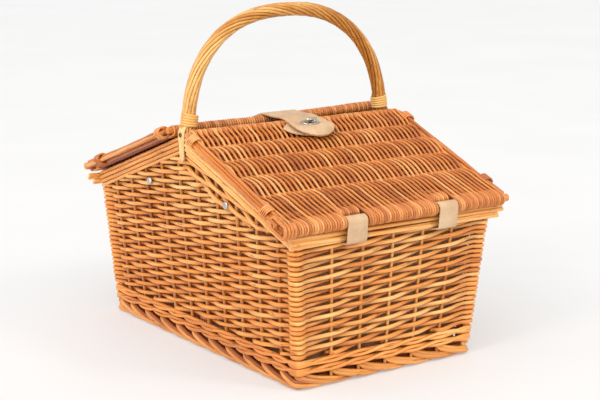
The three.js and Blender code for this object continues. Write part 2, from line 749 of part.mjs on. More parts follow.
function strapFlap() {
  const tip = strapTipReach;
  const side = alongX(outline([
    [strapRoot - clearance / 2, strapLevel], [strapRoot - clearance / 2, strapLevel + strapThickness],
    [-ridgeStickOut, strapLevel + strapThickness], [-tip, tonguePoint(tip) + strapThickness],
    [-tip, tonguePoint(tip)], [-ridgeStickOut, strapLevel],
  ].reverse()), strapWidth / 2);
  const plan = new THREE.Shape();
  plan.moveTo(strapWidth / 2, -tip + strapWidth / 2);
  plan.lineTo(strapWidth / 2, strapTailEnd);
  plan.lineTo(-strapWidth / 2, strapTailEnd);
  plan.lineTo(-strapWidth / 2, -tip + strapWidth / 2);
  plan.absarc(0, -tip + strapWidth / 2, strapWidth / 2, Math.PI, 2 * Math.PI);
  const tongue = clip(side, plate(plan, 2 * strapLevel, 8));
  const slot = plate(stadium(slotLength, slotWidth), 2 * strapLevel, 4);
  slot.translate(0, claspY, 0);
  return cut(tongue, slot);
}

const patchEars = lidRunLength - patchEarsBelowRidge;
const patchTop = lidRunLength - patchTopBelowRidge;
const claspRun = lidRunLength - claspBelowRidge;

// The turn-lock stands square to the front lid. claspLift is how far above the lid's sticks
// its axis meets the underside of the strap, and the strap's slot is centred there.
const claspFootY = hingeOut - claspRun * Math.cos(lidSlope);
const claspFootZ = hingeHeight + claspRun * Math.sin(lidSlope);
const claspLift = (tonguePoint(claspFootY) - claspFootZ)
  / (Math.cos(lidSlope) + Math.sin(lidSlope) * Math.tan(strapTongueSlope));
const claspY = -(claspFootY + (claspLift + strapThickness / 2) * Math.sin(lidSlope));
const patchBottom = lidTop + clearance;
const claspPlateBottom = patchBottom + patchThickness + clearance;

function claspPatch() {
  const shape = new THREE.Shape();
  shape.moveTo(-patchHalfWidth, patchEars);
  shape.absellipse(0, patchEars, patchHalfWidth, patchDepth, Math.PI, 2 * Math.PI);
  shape.lineTo(strapWidth / 2, patchTop);
  shape.lineTo(-strapWidth / 2, patchTop);
  return plate(shape, patchThickness, 8).translate(0, 0, patchBottom);
}

const knobTilt = knobLength / 2 * Math.tan(lidSlope - strapTongueSlope);
const knobBottom = claspLift + strapThickness + eyeletThickness + clearance + knobTilt + knobAboveEyelet;

function claspPlate() {
  const sole = plate(stadium(claspPlateLength, claspPlateWidth), claspPlateThickness);
  const postHeight = knobBottom - clearance - claspPlateBottom;
  const post = rod(new THREE.Vector3(), new THREE.Vector3(0, 0, postHeight), claspPostRadius);
  return join(sole, post).translate(0, claspRun, claspPlateBottom);
}

function claspKnob() {
  const bar = new THREE.ExtrudeGeometry(stadium(knobLength - 2 * knobBevel, knobWidth - 2 * knobBevel), {
    depth: knobThickness - 2 * knobBevel,
    bevelThickness: knobBevel,
    bevelSize: knobBevel,
    bevelSegments: 2,
    curveSegments: 4,
  });
  return bar.translate(0, claspRun, knobBottom + knobBevel);
}

function strapEyelet() {
  const shape = stadium(slotLength + 2 * eyeletRim, slotWidth + 2 * eyeletRim);
  shape.holes.push(stadium(slotLength, slotWidth));
  return plate(shape, eyeletThickness);
}

function strapTail() {
  const along = (y) => roofHeight(y, ridgeStickRadius + 2 * clearance);
  const rise = strapThickness / Math.cos(lidSlope);
  const side = alongX(outline([
    [strapRoot + clearance / 2, strapLevel], [ridgeStickOut, strapLevel], [strapTailEnd, along(strapTailEnd)],
    [strapTailEnd, along(strapTailEnd) + rise], [ridgeStickOut, strapLevel + strapThickness],
    [strapRoot + clearance / 2, strapLevel + strapThickness],
  ]), strapWidth / 2);
  const hole = strapRivetHole().rotateX(lidSlope).translate(0, -hingeOut, hingeHeight).rotateZ(Math.PI);
  return cut(side, hole);
}

// One rivet holds the strap's tail to the back lid, through the weave and the lining
const strapRivetRun = (hingeOut - strapTailEnd) / Math.cos(lidSlope) + strapRivetFromEnd;
const strapRivetTop = ridgeStickRadius + strapThickness + 3 * clearance;
const strapRivetGrip = strapRivetTop + lidUnder + liningThickness + 2 * clearance;

const strapRivetHole = () => rod(new THREE.Vector3(0, strapRivetRun, -3 * lidUnder),
  new THREE.Vector3(0, strapRivetRun, 3 * lidUnder), rivetShankRadius + clearance, 8);

// Assembly

const hamper = new THREE.Group();

const frontHalf = basketHalf('front', 'back', 'left', 'right');
const backHalf = basketHalf('back', 'front', 'right', 'left');
backHalf.rotation.z = Math.PI;
hamper.add(frontHalf, backHalf, handle());
hamper.add(piece('base_panel', basePanel(), wallWillow));
hamper.add(piece('liner', liner(), liningCloth));

const frontLid = lid('front', 'left', 'right');
frontLid.add(piece('clasp_patch', claspPatch(), leather));
frontLid.add(piece('clasp_plate', claspPlate(), nickel));
frontLid.add(piece('clasp_knob', claspKnob(), nickel));

const backLid = lid('back', 'right', 'left', [strapRivetHole()]);
const strapRivet = piece('strap_rivet', rivet(strapRivetGrip), nickel);
strapRivet.position.set(0, strapRivetRun, strapRivetTop);
strapRivet.rotation.x = Math.PI / 2;
backLid.add(strapRivet);
const backRoof = new THREE.Group();
backRoof.rotation.z = Math.PI;
backRoof.add(backLid);
hamper.add(frontLid, backRoof);

hamper.add(piece('strap_tail', strapTail(), leather));
hamper.add(piece('closure_strap', strapFlap(), leather));
const eyelet = piece('strap_eyelet', strapEyelet(), nickel);
eyelet.position.set(0, claspY, tonguePoint(claspY) + strapThickness + clearance);
eyelet.rotation.x = strapTongueSlope;
hamper.add(eyelet);

export default hamper;
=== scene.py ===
# %% [markdown]
# A willow picnic hamper with two roof lids and a bow handle.
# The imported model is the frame: every woven piece below is laid where its plain solid stands,
# so nothing has to be fitted by eye. Lengths in the recipes are millimetres, as a basket maker
# would measure them, and become metres only when a mesh is made.

# %% Load the frame
import itertools
import math
import random

import bmesh
import bpy
import numpy as np
from mathutils import Matrix, Vector


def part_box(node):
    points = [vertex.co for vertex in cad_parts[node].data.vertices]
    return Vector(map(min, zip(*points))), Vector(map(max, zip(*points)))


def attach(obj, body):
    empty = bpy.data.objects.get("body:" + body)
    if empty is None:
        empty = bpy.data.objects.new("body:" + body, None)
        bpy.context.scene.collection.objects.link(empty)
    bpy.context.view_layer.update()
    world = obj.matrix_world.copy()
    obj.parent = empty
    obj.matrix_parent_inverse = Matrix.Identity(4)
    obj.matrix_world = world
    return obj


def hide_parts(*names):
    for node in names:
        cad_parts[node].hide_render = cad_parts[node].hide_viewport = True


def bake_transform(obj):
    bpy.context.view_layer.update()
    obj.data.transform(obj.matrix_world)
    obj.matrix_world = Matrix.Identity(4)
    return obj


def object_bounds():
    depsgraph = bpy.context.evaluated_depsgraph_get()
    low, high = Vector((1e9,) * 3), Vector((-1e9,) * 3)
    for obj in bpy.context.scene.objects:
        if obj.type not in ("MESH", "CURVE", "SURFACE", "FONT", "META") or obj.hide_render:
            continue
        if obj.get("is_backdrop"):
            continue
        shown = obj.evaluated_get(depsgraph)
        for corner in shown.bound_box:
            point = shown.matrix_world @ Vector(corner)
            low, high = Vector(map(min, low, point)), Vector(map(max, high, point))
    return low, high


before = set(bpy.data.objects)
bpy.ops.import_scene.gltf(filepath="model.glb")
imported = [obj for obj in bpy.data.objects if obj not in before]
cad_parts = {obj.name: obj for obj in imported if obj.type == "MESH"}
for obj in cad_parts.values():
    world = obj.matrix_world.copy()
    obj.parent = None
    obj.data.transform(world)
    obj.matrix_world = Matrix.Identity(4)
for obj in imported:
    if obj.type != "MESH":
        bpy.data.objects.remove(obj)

MM = 0.001
ENDS, HANDS = ("front", "back"), ("left", "right")
cad_box = [list(corner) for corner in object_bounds()]
print("solid box in mm", [[round(v / MM, 1) for v in corner] for corner in cad_box])

# %% [markdown]
# The photograph looks down a little on one corner, from far away, so the view is nearly parallel.
# A long lens far back gives that flatness. The place and the turn were found by fitting the
# corners of the solids to the picture, and they stay as plain numbers here.

# %% Camera
CAMERA_PLACE = Vector((-1224.9, -1708.7, 636.1)) * MM
CAMERA_YAW = math.radians(-36.1)
CAMERA_PITCH = math.radians(12.2)
CAMERA_ROLL = math.radians(0.56)
LENS_MM = 96.6
SENSOR_MM = 36.0

back = Vector((math.sin(CAMERA_YAW) * math.cos(CAMERA_PITCH),
               -math.cos(CAMERA_YAW) * math.cos(CAMERA_PITCH), math.sin(CAMERA_PITCH)))
level = Vector((math.cos(CAMERA_YAW), math.sin(CAMERA_YAW), 0))
upright = back.cross(level)
right = math.cos(CAMERA_ROLL) * level + math.sin(CAMERA_ROLL) * upright
top = math.cos(CAMERA_ROLL) * upright - math.sin(CAMERA_ROLL) * level


def placed(name, data):
    """A new object in the scene."""
    thing = bpy.data.objects.new(name, data)
    bpy.context.scene.collection.objects.link(thing)
    return thing


eye = bpy.data.cameras.new("photo_view")
eye.lens = LENS_MM
eye.sensor_width = SENSOR_MM
camera = placed("photo_view", eye)
camera.matrix_world = Matrix((right, top, back)).transposed().to_4x4()
camera.location = CAMERA_PLACE
bpy.context.scene.camera = camera
print("camera looks along", [round(-v, 3) for v in back])

# %% [markdown]
# Every wall leans outwards a little and the roof planes fall from the ridge to the eaves.
# These few functions say where a wall or a roof is, so that stakes, weavers, borders and cloth
# all agree with each other and with the solids.

# %% Shape of the hamper
FOOT_X, FOOT_Y = 139.5, 218.0
EAVE_X, EAVE_Y, EAVE_Z = 156.0, 230.0, 181.0
HINGE_Y, HINGE_Z = 238.0, 207.0
SLOPE = math.radians(20.5)
LID_RUN = 229.28
RIDGE_Y = HINGE_Y - LID_RUN * math.cos(SLOPE)


def wall_x(z):
    """Outer face of the gable walls at a height."""
    return FOOT_X + (EAVE_X - FOOT_X) * z / EAVE_Z


def wall_y(z):
    """Outer face of the end walls at a height."""
    return FOOT_Y + (EAVE_Y - FOOT_Y) * z / EAVE_Z


def roof(y, offset):
    """Height of a plane that lies offset above the lids' sticks."""
    return HINGE_Z + (HINGE_Y - abs(y)) * math.tan(SLOPE) + offset / math.cos(SLOPE)


def line_of(x, y, z):
    """Points from lists or single numbers for x, y and z."""
    return np.stack(np.broadcast_arrays(x, y, z), axis=-1)


def on_lid(end, x, s, n):
    """Points of a lid: x along the ridge, s up the slope from the eave stick, n out of the roof."""
    x, s, n = np.broadcast_arrays(np.asarray(x, float), np.asarray(s, float), np.asarray(n, float))
    y = -HINGE_Y + s * math.cos(SLOPE) - n * math.sin(SLOPE)
    z = HINGE_Z + s * math.sin(SLOPE) + n * math.cos(SLOPE)
    side = 1 if end == "front" else -1
    return line_of(side * x, side * y, z)


print("ridge sticks at y", round(RIDGE_Y, 2), "ridge height", round(roof(RIDGE_Y, 0), 1))

# %% [markdown]
# Peeled willow is a thin rod with fine streaks along it, a few bud scars, and a colour that changes
# from rod to rod. Object coordinates would cut straight through the rods, so each rod carries its own
# coordinates: "run" is the length along it, "turn" the direction round it, "grain" a number of its own that
# gives it its own streaks, and "tone" picks a lighter or a darker rod. The streaks are noise drawn out along
# the run. "shade" carries painted shade: it is 1 in the open and falls where a rod dives behind another or
# lies in shadow, and there the colour is darkened towards a deep brown.

# %% Wiring nodes
def add(tree, kind, wires=None, **settings):
    """A node with its settings, its inputs wired from nodes, sockets or plain values."""
    node = tree.nodes.new(kind)
    for key, value in settings.items():
        setattr(node, key, value)
    for key, value in (wires or {}).items():
        if isinstance(value, bpy.types.Node):
            value = value.outputs[0]
        if isinstance(value, bpy.types.NodeSocket):
            tree.links.new(value, node.inputs[key])
        else:
            node.inputs[key].default_value = value
    return node


def calc(tree, operation, *amounts):
    """A sum on numbers."""
    return add(tree, "ShaderNodeMath", dict(enumerate(amounts)), operation=operation)


def vector_calc(tree, operation, *amounts):
    """A sum on vectors."""
    return add(tree, "ShaderNodeVectorMath", dict(enumerate(amounts)), operation=operation)


print("wiring helpers", [helper.__name__ for helper in (add, calc, vector_calc)])


# %% What a finish reads
def noise(tree, place, scale, detail):
    """Soft noise from 0 to 1."""
    return add(tree, "ShaderNodeTexNoise", {"Vector": place, "Scale": scale, "Detail": detail}).outputs["Fac"]


def object_place(tree):
    """A place on a piece, in the piece's own frame."""
    return add(tree, "ShaderNodeTexCoord").outputs["Object"]


def reading(tree, attribute, output="Fac"):
    """What a piece's points carry under a name."""
    return add(tree, "ShaderNodeAttribute", attribute_name=attribute).outputs[output]


print("reading helpers", [helper.__name__ for helper in (noise, object_place, reading)])


# %% Colours and surfaces
def tinted(tree, colour, tint):
    """A colour multiplied by another."""
    wires = {"Fac": 1.0, "Color1": colour, "Color2": tint}
    return add(tree, "ShaderNodeMixRGB", wires, blend_type="MULTIPLY").outputs["Color"]


def srgb(red, green, blue):
    """A colour as a paint card gives it, for a shader."""
    def linear(c):
        return c / 12.92 if c <= 0.04045 else ((c + 0.055) / 1.055) ** 2.4
    return (linear(red / 255), linear(green / 255), linear(blue / 255), 1.0)


def finish_named(name):
    """A new material with its shader."""
    material = bpy.data.materials.new(name)
    material.use_nodes = True
    return material, material.node_tree, material.node_tree.nodes["Principled BSDF"]


def ramp(tree, amount, *stops):
    """Colours along an amount from 0 to 1."""
    node = add(tree, "ShaderNodeValToRGB", {"Fac": amount})
    band = node.color_ramp
    for _ in range(len(stops) - 2):
        band.elements.new(0.5)
    for element, (place, colour) in zip(band.elements, stops):
        element.position = place
        element.color = colour
    return node.outputs["Color"]


def fine_bump(tree, shader, height, strength, depth):
    """Bump from a height, at most depth metres deep."""
    bump = add(tree, "ShaderNodeBump", {"Height": height, "Strength": strength, "Distance": depth})
    tree.links.new(bump.outputs["Normal"], shader.inputs["Normal"])


def vary(tree, shader, socket, amount, low, high):
    """A shader input that changes over the surface between two values."""
    spread = add(tree, "ShaderNodeMapRange", {"Value": amount, "To Min": low, "To Max": high})
    tree.links.new(spread.outputs["Result"], shader.inputs[socket])


print("colour check, pale willow", [round(v, 3) for v in srgb(245, 205, 145)[:3]])


# %% Willow finishes
WHITE = (1, 1, 1, 1)
# The second tint is the colour of painted shade, which darkens rods where they lie behind others or in
# shadow.
SCAR_TINT, PAINTED_SHADE_TINT = (0.55, 0.42, 0.32, 1), (0.38, 0.18, 0.055, 1)
STREAK_SHARE, STREAK_LEVEL, TONE_SHARE, CLOUD_SHARE = 0.55, -0.16, 0.32, 0.30
GRAIN_SHIFT = 83.0


def willow(name, dark, middle, light, roughness):
    """Peeled and lacquered willow, coloured from rod to rod."""
    material, tree, shader = finish_named(name)
    tone, grain, run, shade = (reading(tree, key) for key in ("tone", "grain", "run", "shade"))
    along = add(tree, "ShaderNodeCombineXYZ", {"Z": run})
    rod = vector_calc(tree, "ADD", reading(tree, "turn", "Vector"), along)
    shift = calc(tree, "MULTIPLY", grain, GRAIN_SHIFT)

    def drawn_out(scale, detail):
        return noise(tree, vector_calc(tree, "MULTIPLY_ADD", rod, scale, shift), 1.0, detail)

    streak = drawn_out((2.2, 2.2, 26.0), 3.0)
    fibre = drawn_out((7.0, 7.0, 70.0), 2.0)
    scar = drawn_out((0.9, 0.9, 55.0), 1.0)
    cloud = noise(tree, object_place(tree), 11.0, 2.0)

    streaked = calc(tree, "MULTIPLY_ADD", streak, STREAK_SHARE, STREAK_LEVEL)
    by_rod = calc(tree, "MULTIPLY_ADD", tone, TONE_SHARE, streaked)
    clouded = calc(tree, "MULTIPLY_ADD", cloud, CLOUD_SHARE, by_rod)
    colour = ramp(tree, clouded, (0.14, dark), (0.42, middle), (0.72, light))
    scarred = tinted(tree, colour, ramp(tree, scar, (0.0, WHITE), (0.66, WHITE), (0.74, SCAR_TINT)))
    # Painted shade: the colour is darkened by the shade each point carries.
    painted_shade = tinted(tree, scarred, ramp(tree, shade, (0.0, PAINTED_SHADE_TINT), (1.0, WHITE)))
    tree.links.new(painted_shade, shader.inputs["Base Color"])
    vary(tree, shader, "Roughness", fibre, roughness - 0.08, roughness + 0.14)
    shader.inputs["Coat Weight"].default_value = 0.45
    shader.inputs["Coat Roughness"].default_value = 0.27
    fine_bump(tree, shader, fibre, 0.35, 0.0004)
    return material


wall_willow = willow("wall_willow", srgb(174, 86, 18), srgb(240, 154, 64), srgb(254, 212, 136), 0.44)
lid_willow = willow("lid_willow", srgb(158, 74, 16), srgb(215, 130, 54), srgb(242, 182, 111), 0.44)
rod_willow = willow("rod_willow", srgb(180, 98, 28), srgb(242, 166, 80), srgb(254, 215, 140), 0.42)
handle_willow = willow("handle_willow", srgb(134, 68, 8), srgb(200, 130, 40), srgb(246, 204, 126), 0.40)
pale_cane = willow("pale_cane", srgb(182, 114, 38), srgb(225, 165, 80), srgb(248, 206, 130), 0.40)
print("willow finishes", [m.name for m in (wall_willow, lid_willow, rod_willow, handle_willow, pale_cane)])

# %% [markdown]
# Nearly everything on a basket is a rod that follows a path: straight stakes, weavers that swing
# before and behind them, borders, the twisted handle. So one Geometry Nodes tree turns paths into
# rods. A path comes in as a loose line of points. On each point "out" says which way the rod
# swings and how far, "weave" runs from -1 behind a stake to 1 before it, "thick" is the rod's radius
# and "face" the way its flat side looks. The tree moves the points, unsteadies them a little as hand
# work does, and sweeps a round section along them.

# %% What every tree begins and ends with
def new_tree(name, sizes):
    """An empty tree with a geometry going in and out, and named sizes."""
    tree = bpy.data.node_groups.new(name, "GeometryNodeTree")
    tree.interface.new_socket("Geometry", in_out="INPUT", socket_type="NodeSocketGeometry")
    for label, kind, value in sizes:
        socket = tree.interface.new_socket(label, in_out="INPUT", socket_type="NodeSocket" + kind)
        if value is not None:
            socket.default_value = value
    tree.interface.new_socket("Geometry", in_out="OUTPUT", socket_type="NodeSocketGeometry")
    return tree, add(tree, "NodeGroupInput").outputs


def end_tree(tree, geometry, material):
    """Every tree ends alike: real geometry with its material."""
    real = add(tree, "GeometryNodeRealizeInstances", {"Geometry": geometry})
    dressed = add(tree, "GeometryNodeSetMaterial", {"Geometry": real, "Material": material})
    add(tree, "NodeGroupOutput", {"Geometry": dressed})
    return tree


print("tree helpers", [helper.__name__ for helper in (new_tree, end_tree)])


# %% The tree that makes rods
def on_points(tree, name, kind="FLOAT"):
    """A number or a vector that the points carry."""
    return add(tree, "GeometryNodeInputNamedAttribute", {"Name": name}, data_type=kind)


def keep_on_points(tree, geometry, name, value, kind="FLOAT"):
    """A geometry whose points carry one value more."""
    wires = {"Geometry": geometry, "Name": name, "Value": value}
    return add(tree, "GeometryNodeStoreNamedAttribute", wires, data_type=kind, domain="POINT")


def scaled(tree, vector, amount):
    """A vector made longer or shorter."""
    return add(tree, "ShaderNodeVectorMath", {0: vector, "Scale": amount}, operation="SCALE")


def rods_tree():
    """Lines in, rods out."""
    tree, size = new_tree("rods along paths", [
        ("Unsteadiness", "Float", 0.0), ("Unsteady Scale", "Float", 40.0), ("Seed", "Float", 0.0),
        ("Sides", "Int", 8), ("Flatness", "Float", 1.0), ("Material", "Material", None)])
    swung = scaled(tree, on_points(tree, "out", "FLOAT_VECTOR"), on_points(tree, "weave"))
    unevenness = {"W": size["Seed"], "Scale": size["Unsteady Scale"], "Detail": 1.0}
    hand = add(tree, "ShaderNodeTexNoise", unevenness, noise_dimensions="4D")
    centred = vector_calc(tree, "SUBTRACT", hand.outputs["Color"], (0.5, 0.5, 0.5))
    moved = vector_calc(tree, "ADD", swung, scaled(tree, centred, size["Unsteadiness"]))
    laid = add(tree, "GeometryNodeSetPosition", {"Geometry": size["Geometry"], "Offset": moved})

    line = add(tree, "GeometryNodeMeshToCurve", {"Mesh": laid})
    face = on_points(tree, "face", "FLOAT_VECTOR")
    faced = add(tree, "GeometryNodeSetCurveNormal", {"Curve": line, "Normal": face}, mode="FREE")
    length = add(tree, "GeometryNodeSplineParameter").outputs["Length"]
    measured = keep_on_points(tree, faced, "run", length)
    circle = add(tree, "GeometryNodeCurvePrimitiveCircle", {"Resolution": size["Sides"], "Radius": 1.0})
    place = add(tree, "GeometryNodeInputPosition")
    marked = keep_on_points(tree, circle, "turn", place, "FLOAT_VECTOR")
    flat = add(tree, "ShaderNodeCombineXYZ", {"X": size["Flatness"], "Y": 1.0, "Z": 1.0})
    section = add(tree, "GeometryNodeTransform", {"Geometry": marked, "Scale": flat})
    swept = add(tree, "GeometryNodeCurveToMesh", {
        "Curve": measured, "Profile Curve": section, "Scale": on_points(tree, "thick"), "Fill Caps": True})
    smooth = add(tree, "GeometryNodeSetShadeSmooth", {"Geometry": swept})
    return end_tree(tree, smooth, size["Material"])


RODS = rods_tree()
print(RODS.name, "takes", [i.name for i in RODS.interface.items_tree if i.in_out == "INPUT"])


# %% A rod's path
def path(points, thick, tone, weave=0.0, out=(0, 0, 0), face=(0, 0, 1), closed=False, shade=1.0, grain=None):
    """One rod: its points, and on each point what the tree and the finish read. Lengths in millimetres."""
    count = len(points)
    numbers = {"thick": np.asarray(thick, float) * MM, "tone": tone, "weave": weave, "shade": shade,
               "grain": tone if grain is None else grain}
    vectors = {"out": np.asarray(out, float) * MM, "face": face}
    rod = {"points": np.asarray(points, float) * MM, "closed": closed}
    rod.update((key, np.broadcast_to(np.asarray(value, float), count)) for key, value in numbers.items())
    rod.update((key, np.broadcast_to(np.asarray(value, float), (count, 3))) for key, value in vectors.items())
    return rod


def lines_mesh(name, paths):
    """Loose lines with the paths' numbers on their points."""
    points, edges, first = [], [], 0
    for rod in paths:
        count = len(rod["points"])
        points.extend(map(tuple, rod["points"]))
        edges.extend((first + k, first + k + 1) for k in range(count - 1))
        if rod["closed"]:
            edges.append((first + count - 1, first))
        first += count
    mesh = bpy.data.meshes.new(name + "_paths")
    mesh.from_pydata(points, edges, [])
    for key in ("thick", "tone", "grain", "weave", "shade"):
        values = np.concatenate([rod[key] for rod in paths]).astype(np.float32)
        mesh.attributes.new(key, "FLOAT", "POINT").data.foreach_set("value", values)
    for key in ("out", "face"):
        values = np.concatenate([rod[key] for rod in paths]).astype(np.float32)
        mesh.attributes.new(key, "FLOAT_VECTOR", "POINT").data.foreach_set("vector", values.ravel())
    return mesh


print("a rod carries", sorted(path([(0, 0, 0)], 1, 0)))


# %% From paths to pieces
def plain_copy(thing):
    """What the modifiers make of an object, as a plain mesh."""
    return bpy.data.meshes.new_from_object(thing.evaluated_get(bpy.context.evaluated_depsgraph_get()))


def grow(name, mesh, tree, sizes):
    """Runs a tree on a mesh once and keeps the result as a plain mesh."""
    seed = placed(name + "_seed", mesh)
    modifier = seed.modifiers.new("grow", "NODES")
    modifier.node_group = tree
    for item in tree.interface.items_tree:
        if item.in_out == "INPUT" and item.name in sizes:
            modifier[item.identifier] = sizes[item.name]
    plain = plain_copy(seed)
    bpy.data.objects.remove(seed)
    plain.name = name
    return placed(name, plain)


def settle(piece, body, nodes=()):
    """The piece rides on its body and stands for its solids, which are hidden."""
    if nodes:
        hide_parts(*nodes)
    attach(piece, body)
    faces = sum(len(p.vertices) - 2 for p in piece.data.polygons)
    print(piece.name, "rides on", body, "with", faces, "triangles, for", len(nodes), "solids")
    return piece


def rods(name, paths, material, body, slot, nodes=(), **sizes):
    """A piece made of rods."""
    named = {key.replace("_", " "): value for key, value in sizes.items()}
    piece = grow(name, lines_mesh(name, paths), RODS, {**named, "Material": material})
    return settle(piece, body, nodes)


def every(pattern, *choices):
    """Names of solids: a pattern filled with each choice in turn."""
    return [pattern % pick for pick in itertools.product(*choices)]


print("names of solids, such as", every("wall_%s", ENDS))


# %% [markdown]
# The walls are randed: each weaver goes before one stake and behind the next, and the row above
# does the opposite. A row can be laid as one ring round the basket, because a weaver really does
# travel round all four walls, bending round the corner posts. It passes outside every post, so two
# neighbouring rows part company between a post and the first stake, and the grey lining shows there.
# At each stake the swing is known, before or behind, and a cosine joins one stake to the next. Just
# beside a post every row dips inwards, which draws the rows into a tight column at the corner.

# %% Sides and stakes
BESIDE_POST = 14.3
END_STAKES, END_SPACING = 5, 42.0
GABLE_STAKES, GABLE_SPACING = 10, 40.0

SIDES = [  # outward, along, stakes and their spacing
    ((0, -1), (1, 0), END_STAKES, END_SPACING),
    ((1, 0), (0, 1), GABLE_STAKES, GABLE_SPACING),
    ((0, 1), (-1, 0), END_STAKES, END_SPACING),
    ((-1, 0), (0, -1), GABLE_STAKES, GABLE_SPACING),
]


def stake_places(count, spacing, z, wall):
    """Stakes lean with the wall, so they spread towards the top."""
    spread = (wall(z) - BESIDE_POST) / (wall(0) - BESIDE_POST)
    return [(k - (count - 1) / 2) * spacing * spread for k in range(count)]


print("stakes of an end wall at its foot", stake_places(END_STAKES, END_SPACING, 0, wall_x))

# %% Rings round the basket
POST_INSET, MIDDLE_DEPTH = 9.0, 6.0
RING_STEP, BEND_STEPS, DIP_REACH = 5.0, 5, 12.0


def ring(height):
    """The middle of the wall all round, at a height that may change with x and y.

    Gives points, outward directions, lengths so far, knots at posts, dips and stakes, and the whole length.
    """
    points, outs, lengths, knots = [], [], [], []
    bend = POST_INSET - MIDDLE_DEPTH

    def put(x, y, out):
        point = (x, y, height(x, y))
        lengths.append(lengths[-1] + math.dist(points[-1], point) if points else 0.0)
        points.append(point)
        outs.append(out)

    def post_place(sx, sy):
        z = height(sx * EAVE_X, sy * EAVE_Y)
        return sx * (wall_x(z) - POST_INSET), sy * (wall_y(z) - POST_INSET)

    for (nx, ny), (ax, ay), count, spacing in SIDES:
        (x0, y0), (x1, y1) = post_place(nx - ax, ny - ay), post_place(nx + ax, ny + ay)
        steps = int(math.dist((x0, y0), (x1, y1)) / RING_STEP)
        first = len(points)
        for k in range(steps + 1):
            x, y = x0 + (x1 - x0) * k / steps, y0 + (y1 - y0) * k / steps
            if nx:
                put(nx * (wall_x(height(nx * EAVE_X, y)) - MIDDLE_DEPTH), y, (nx, ny))
            else:
                put(x, ny * (wall_y(height(x, ny * EAVE_Y)) - MIDDLE_DEPTH), (nx, ny))
        along = [ax * p[0] + ay * p[1] for p in points[first:]]
        knots.append((lengths[first], "post", 1))
        knots.append((lengths[first] + DIP_REACH, "dip", 0))
        for k in range(count):
            middle = (k - (count - 1) / 2) * spacing
            z = height(nx * EAVE_X + ax * middle, ny * EAVE_Y + ay * middle)
            u = stake_places(count, spacing, z, wall_x if ax else wall_y)[k]
            knots.append((float(np.interp(u, along, lengths[first:])), "stake", -(-1) ** k))
        knots.append((lengths[-1] - DIP_REACH, "dip", 0))
        knots.append((lengths[-1], "post", 1))
        for k in range(1, BEND_STEPS):
            angle = math.pi / 2 * k / BEND_STEPS
            out = (nx * math.cos(angle) + ax * math.sin(angle), ny * math.cos(angle) + ay * math.sin(angle))
            put(x1 + bend * out[0], y1 + bend * out[1], out)
    whole = lengths[-1] + math.dist(points[-1], points[0])
    return np.array(points), np.array(outs), np.array(lengths), knots, whole


_, _, _, ring_knots, girth = ring(lambda x, y: 100)
print("a row at z 100 is", round(girth), "mm long, with", len(ring_knots), "stakes, post edges and dips")


# %% Swings from stake to stake
def between(places, values, at):
    """Values at places, joined by cosine waves."""
    places, values = np.asarray(places, float), np.asarray(values, float)
    k = np.clip(np.searchsorted(places, at, side="right") - 1, 0, len(places) - 2)
    share = np.clip((at - places[k]) / np.maximum(places[k + 1] - places[k], 1e-6), 0, 1)
    return values[k] + (values[k + 1] - values[k]) * (1 - np.cos(np.pi * share)) / 2


print("halfway from behind to before the swing is", between([0, 40], [-1, 1], np.array([20.0])))

# %% [markdown]
# The rows are not level: by hand they were packed down harder towards the back and the left, so every ring
# lies a little askew. At the foot the low side of a row runs out into the waling, and at the top its high
# side runs on into the gable. So each ring is laid whole and only its stretches that have room are kept.
# Under the front borders a few rows follow the slope instead. On the gables the rods differ little in tone
# and are paler towards the peaks. On the end walls they differ more, so each has tone limits of its own.

# %% Where a row has room
WALE_ROWS, WALE_HEIGHT, WALE_FOOT = 2, 10.2, 18.6
WALE_TOP = WALE_FOOT + WALE_ROWS * WALE_HEIGHT
ROW_FALL, ROW_RISE, LEVEL_X, LEVEL_Y = 0.105, 0.075, 135.0, 205.0
GABLE_TUCK, SLANT_ROWS, SLANT_PITCH = -32.4, 4, 6.4
GABLE_FACING, ROW_ROOM, SHORTEST_RUN = 0.7, 5, 8


def packed(base):
    """A row's height at a place, level across the corners."""
    def height(x, y):
        x = max(-LEVEL_X, min(LEVEL_X, x))
        y = max(-LEVEL_Y, min(LEVEL_Y, y))
        return base - ROW_FALL * (y + LEVEL_Y) + ROW_RISE * (x + LEVEL_X)

    return height


def on_gables(outs):
    """True where the outward direction is a gable's."""
    return np.abs(outs[..., 0]) > GABLE_FACING


def has_room(point, out):
    """True where a row lies above the waling and under the rim, the gable's border or the slanting rows."""
    _, y, z = point
    ceiling = EAVE_Z + ROW_ROOM
    if on_gables(out):
        under_border = GABLE_TUCK + ROW_ROOM
        under_slants = roof(y, under_border - SLANT_ROWS * SLANT_PITCH)
        beside_slants = min(ceiling, roof(y, GABLE_TUCK - 1.6))
        ceiling = max(under_slants, beside_slants) if y < 0 else roof(y, under_border)
    return WALE_TOP + 1 < z < ceiling


def stretches(kept):
    """Runs of kept points round a ring, as lists of their numbers."""
    count = len(kept)
    if all(kept):
        return [list(range(count))]
    start = kept.index(False)
    runs, run = [], []
    for k in range(start, start + count + 1):
        if kept[k % count]:
            run.append(k % count)
        elif run:
            runs.append(run)
            run = []
    return [run for run in runs if len(run) > SHORTEST_RUN]


print("randing starts above", round(WALE_TOP, 1), "and ends under", EAVE_Z + ROW_ROOM, "on the end walls")

# %% How rods look along a row
# The last number is how deep the painted shade goes where a weaver passes behind a stake.
ROD_SPREAD, ROD_BUTT, ROD_TAPER, WEAVER_PAINTED_SHADE = (0.75, 1.25), 1.08, 0.2, 0.26
draw = random.Random(7)


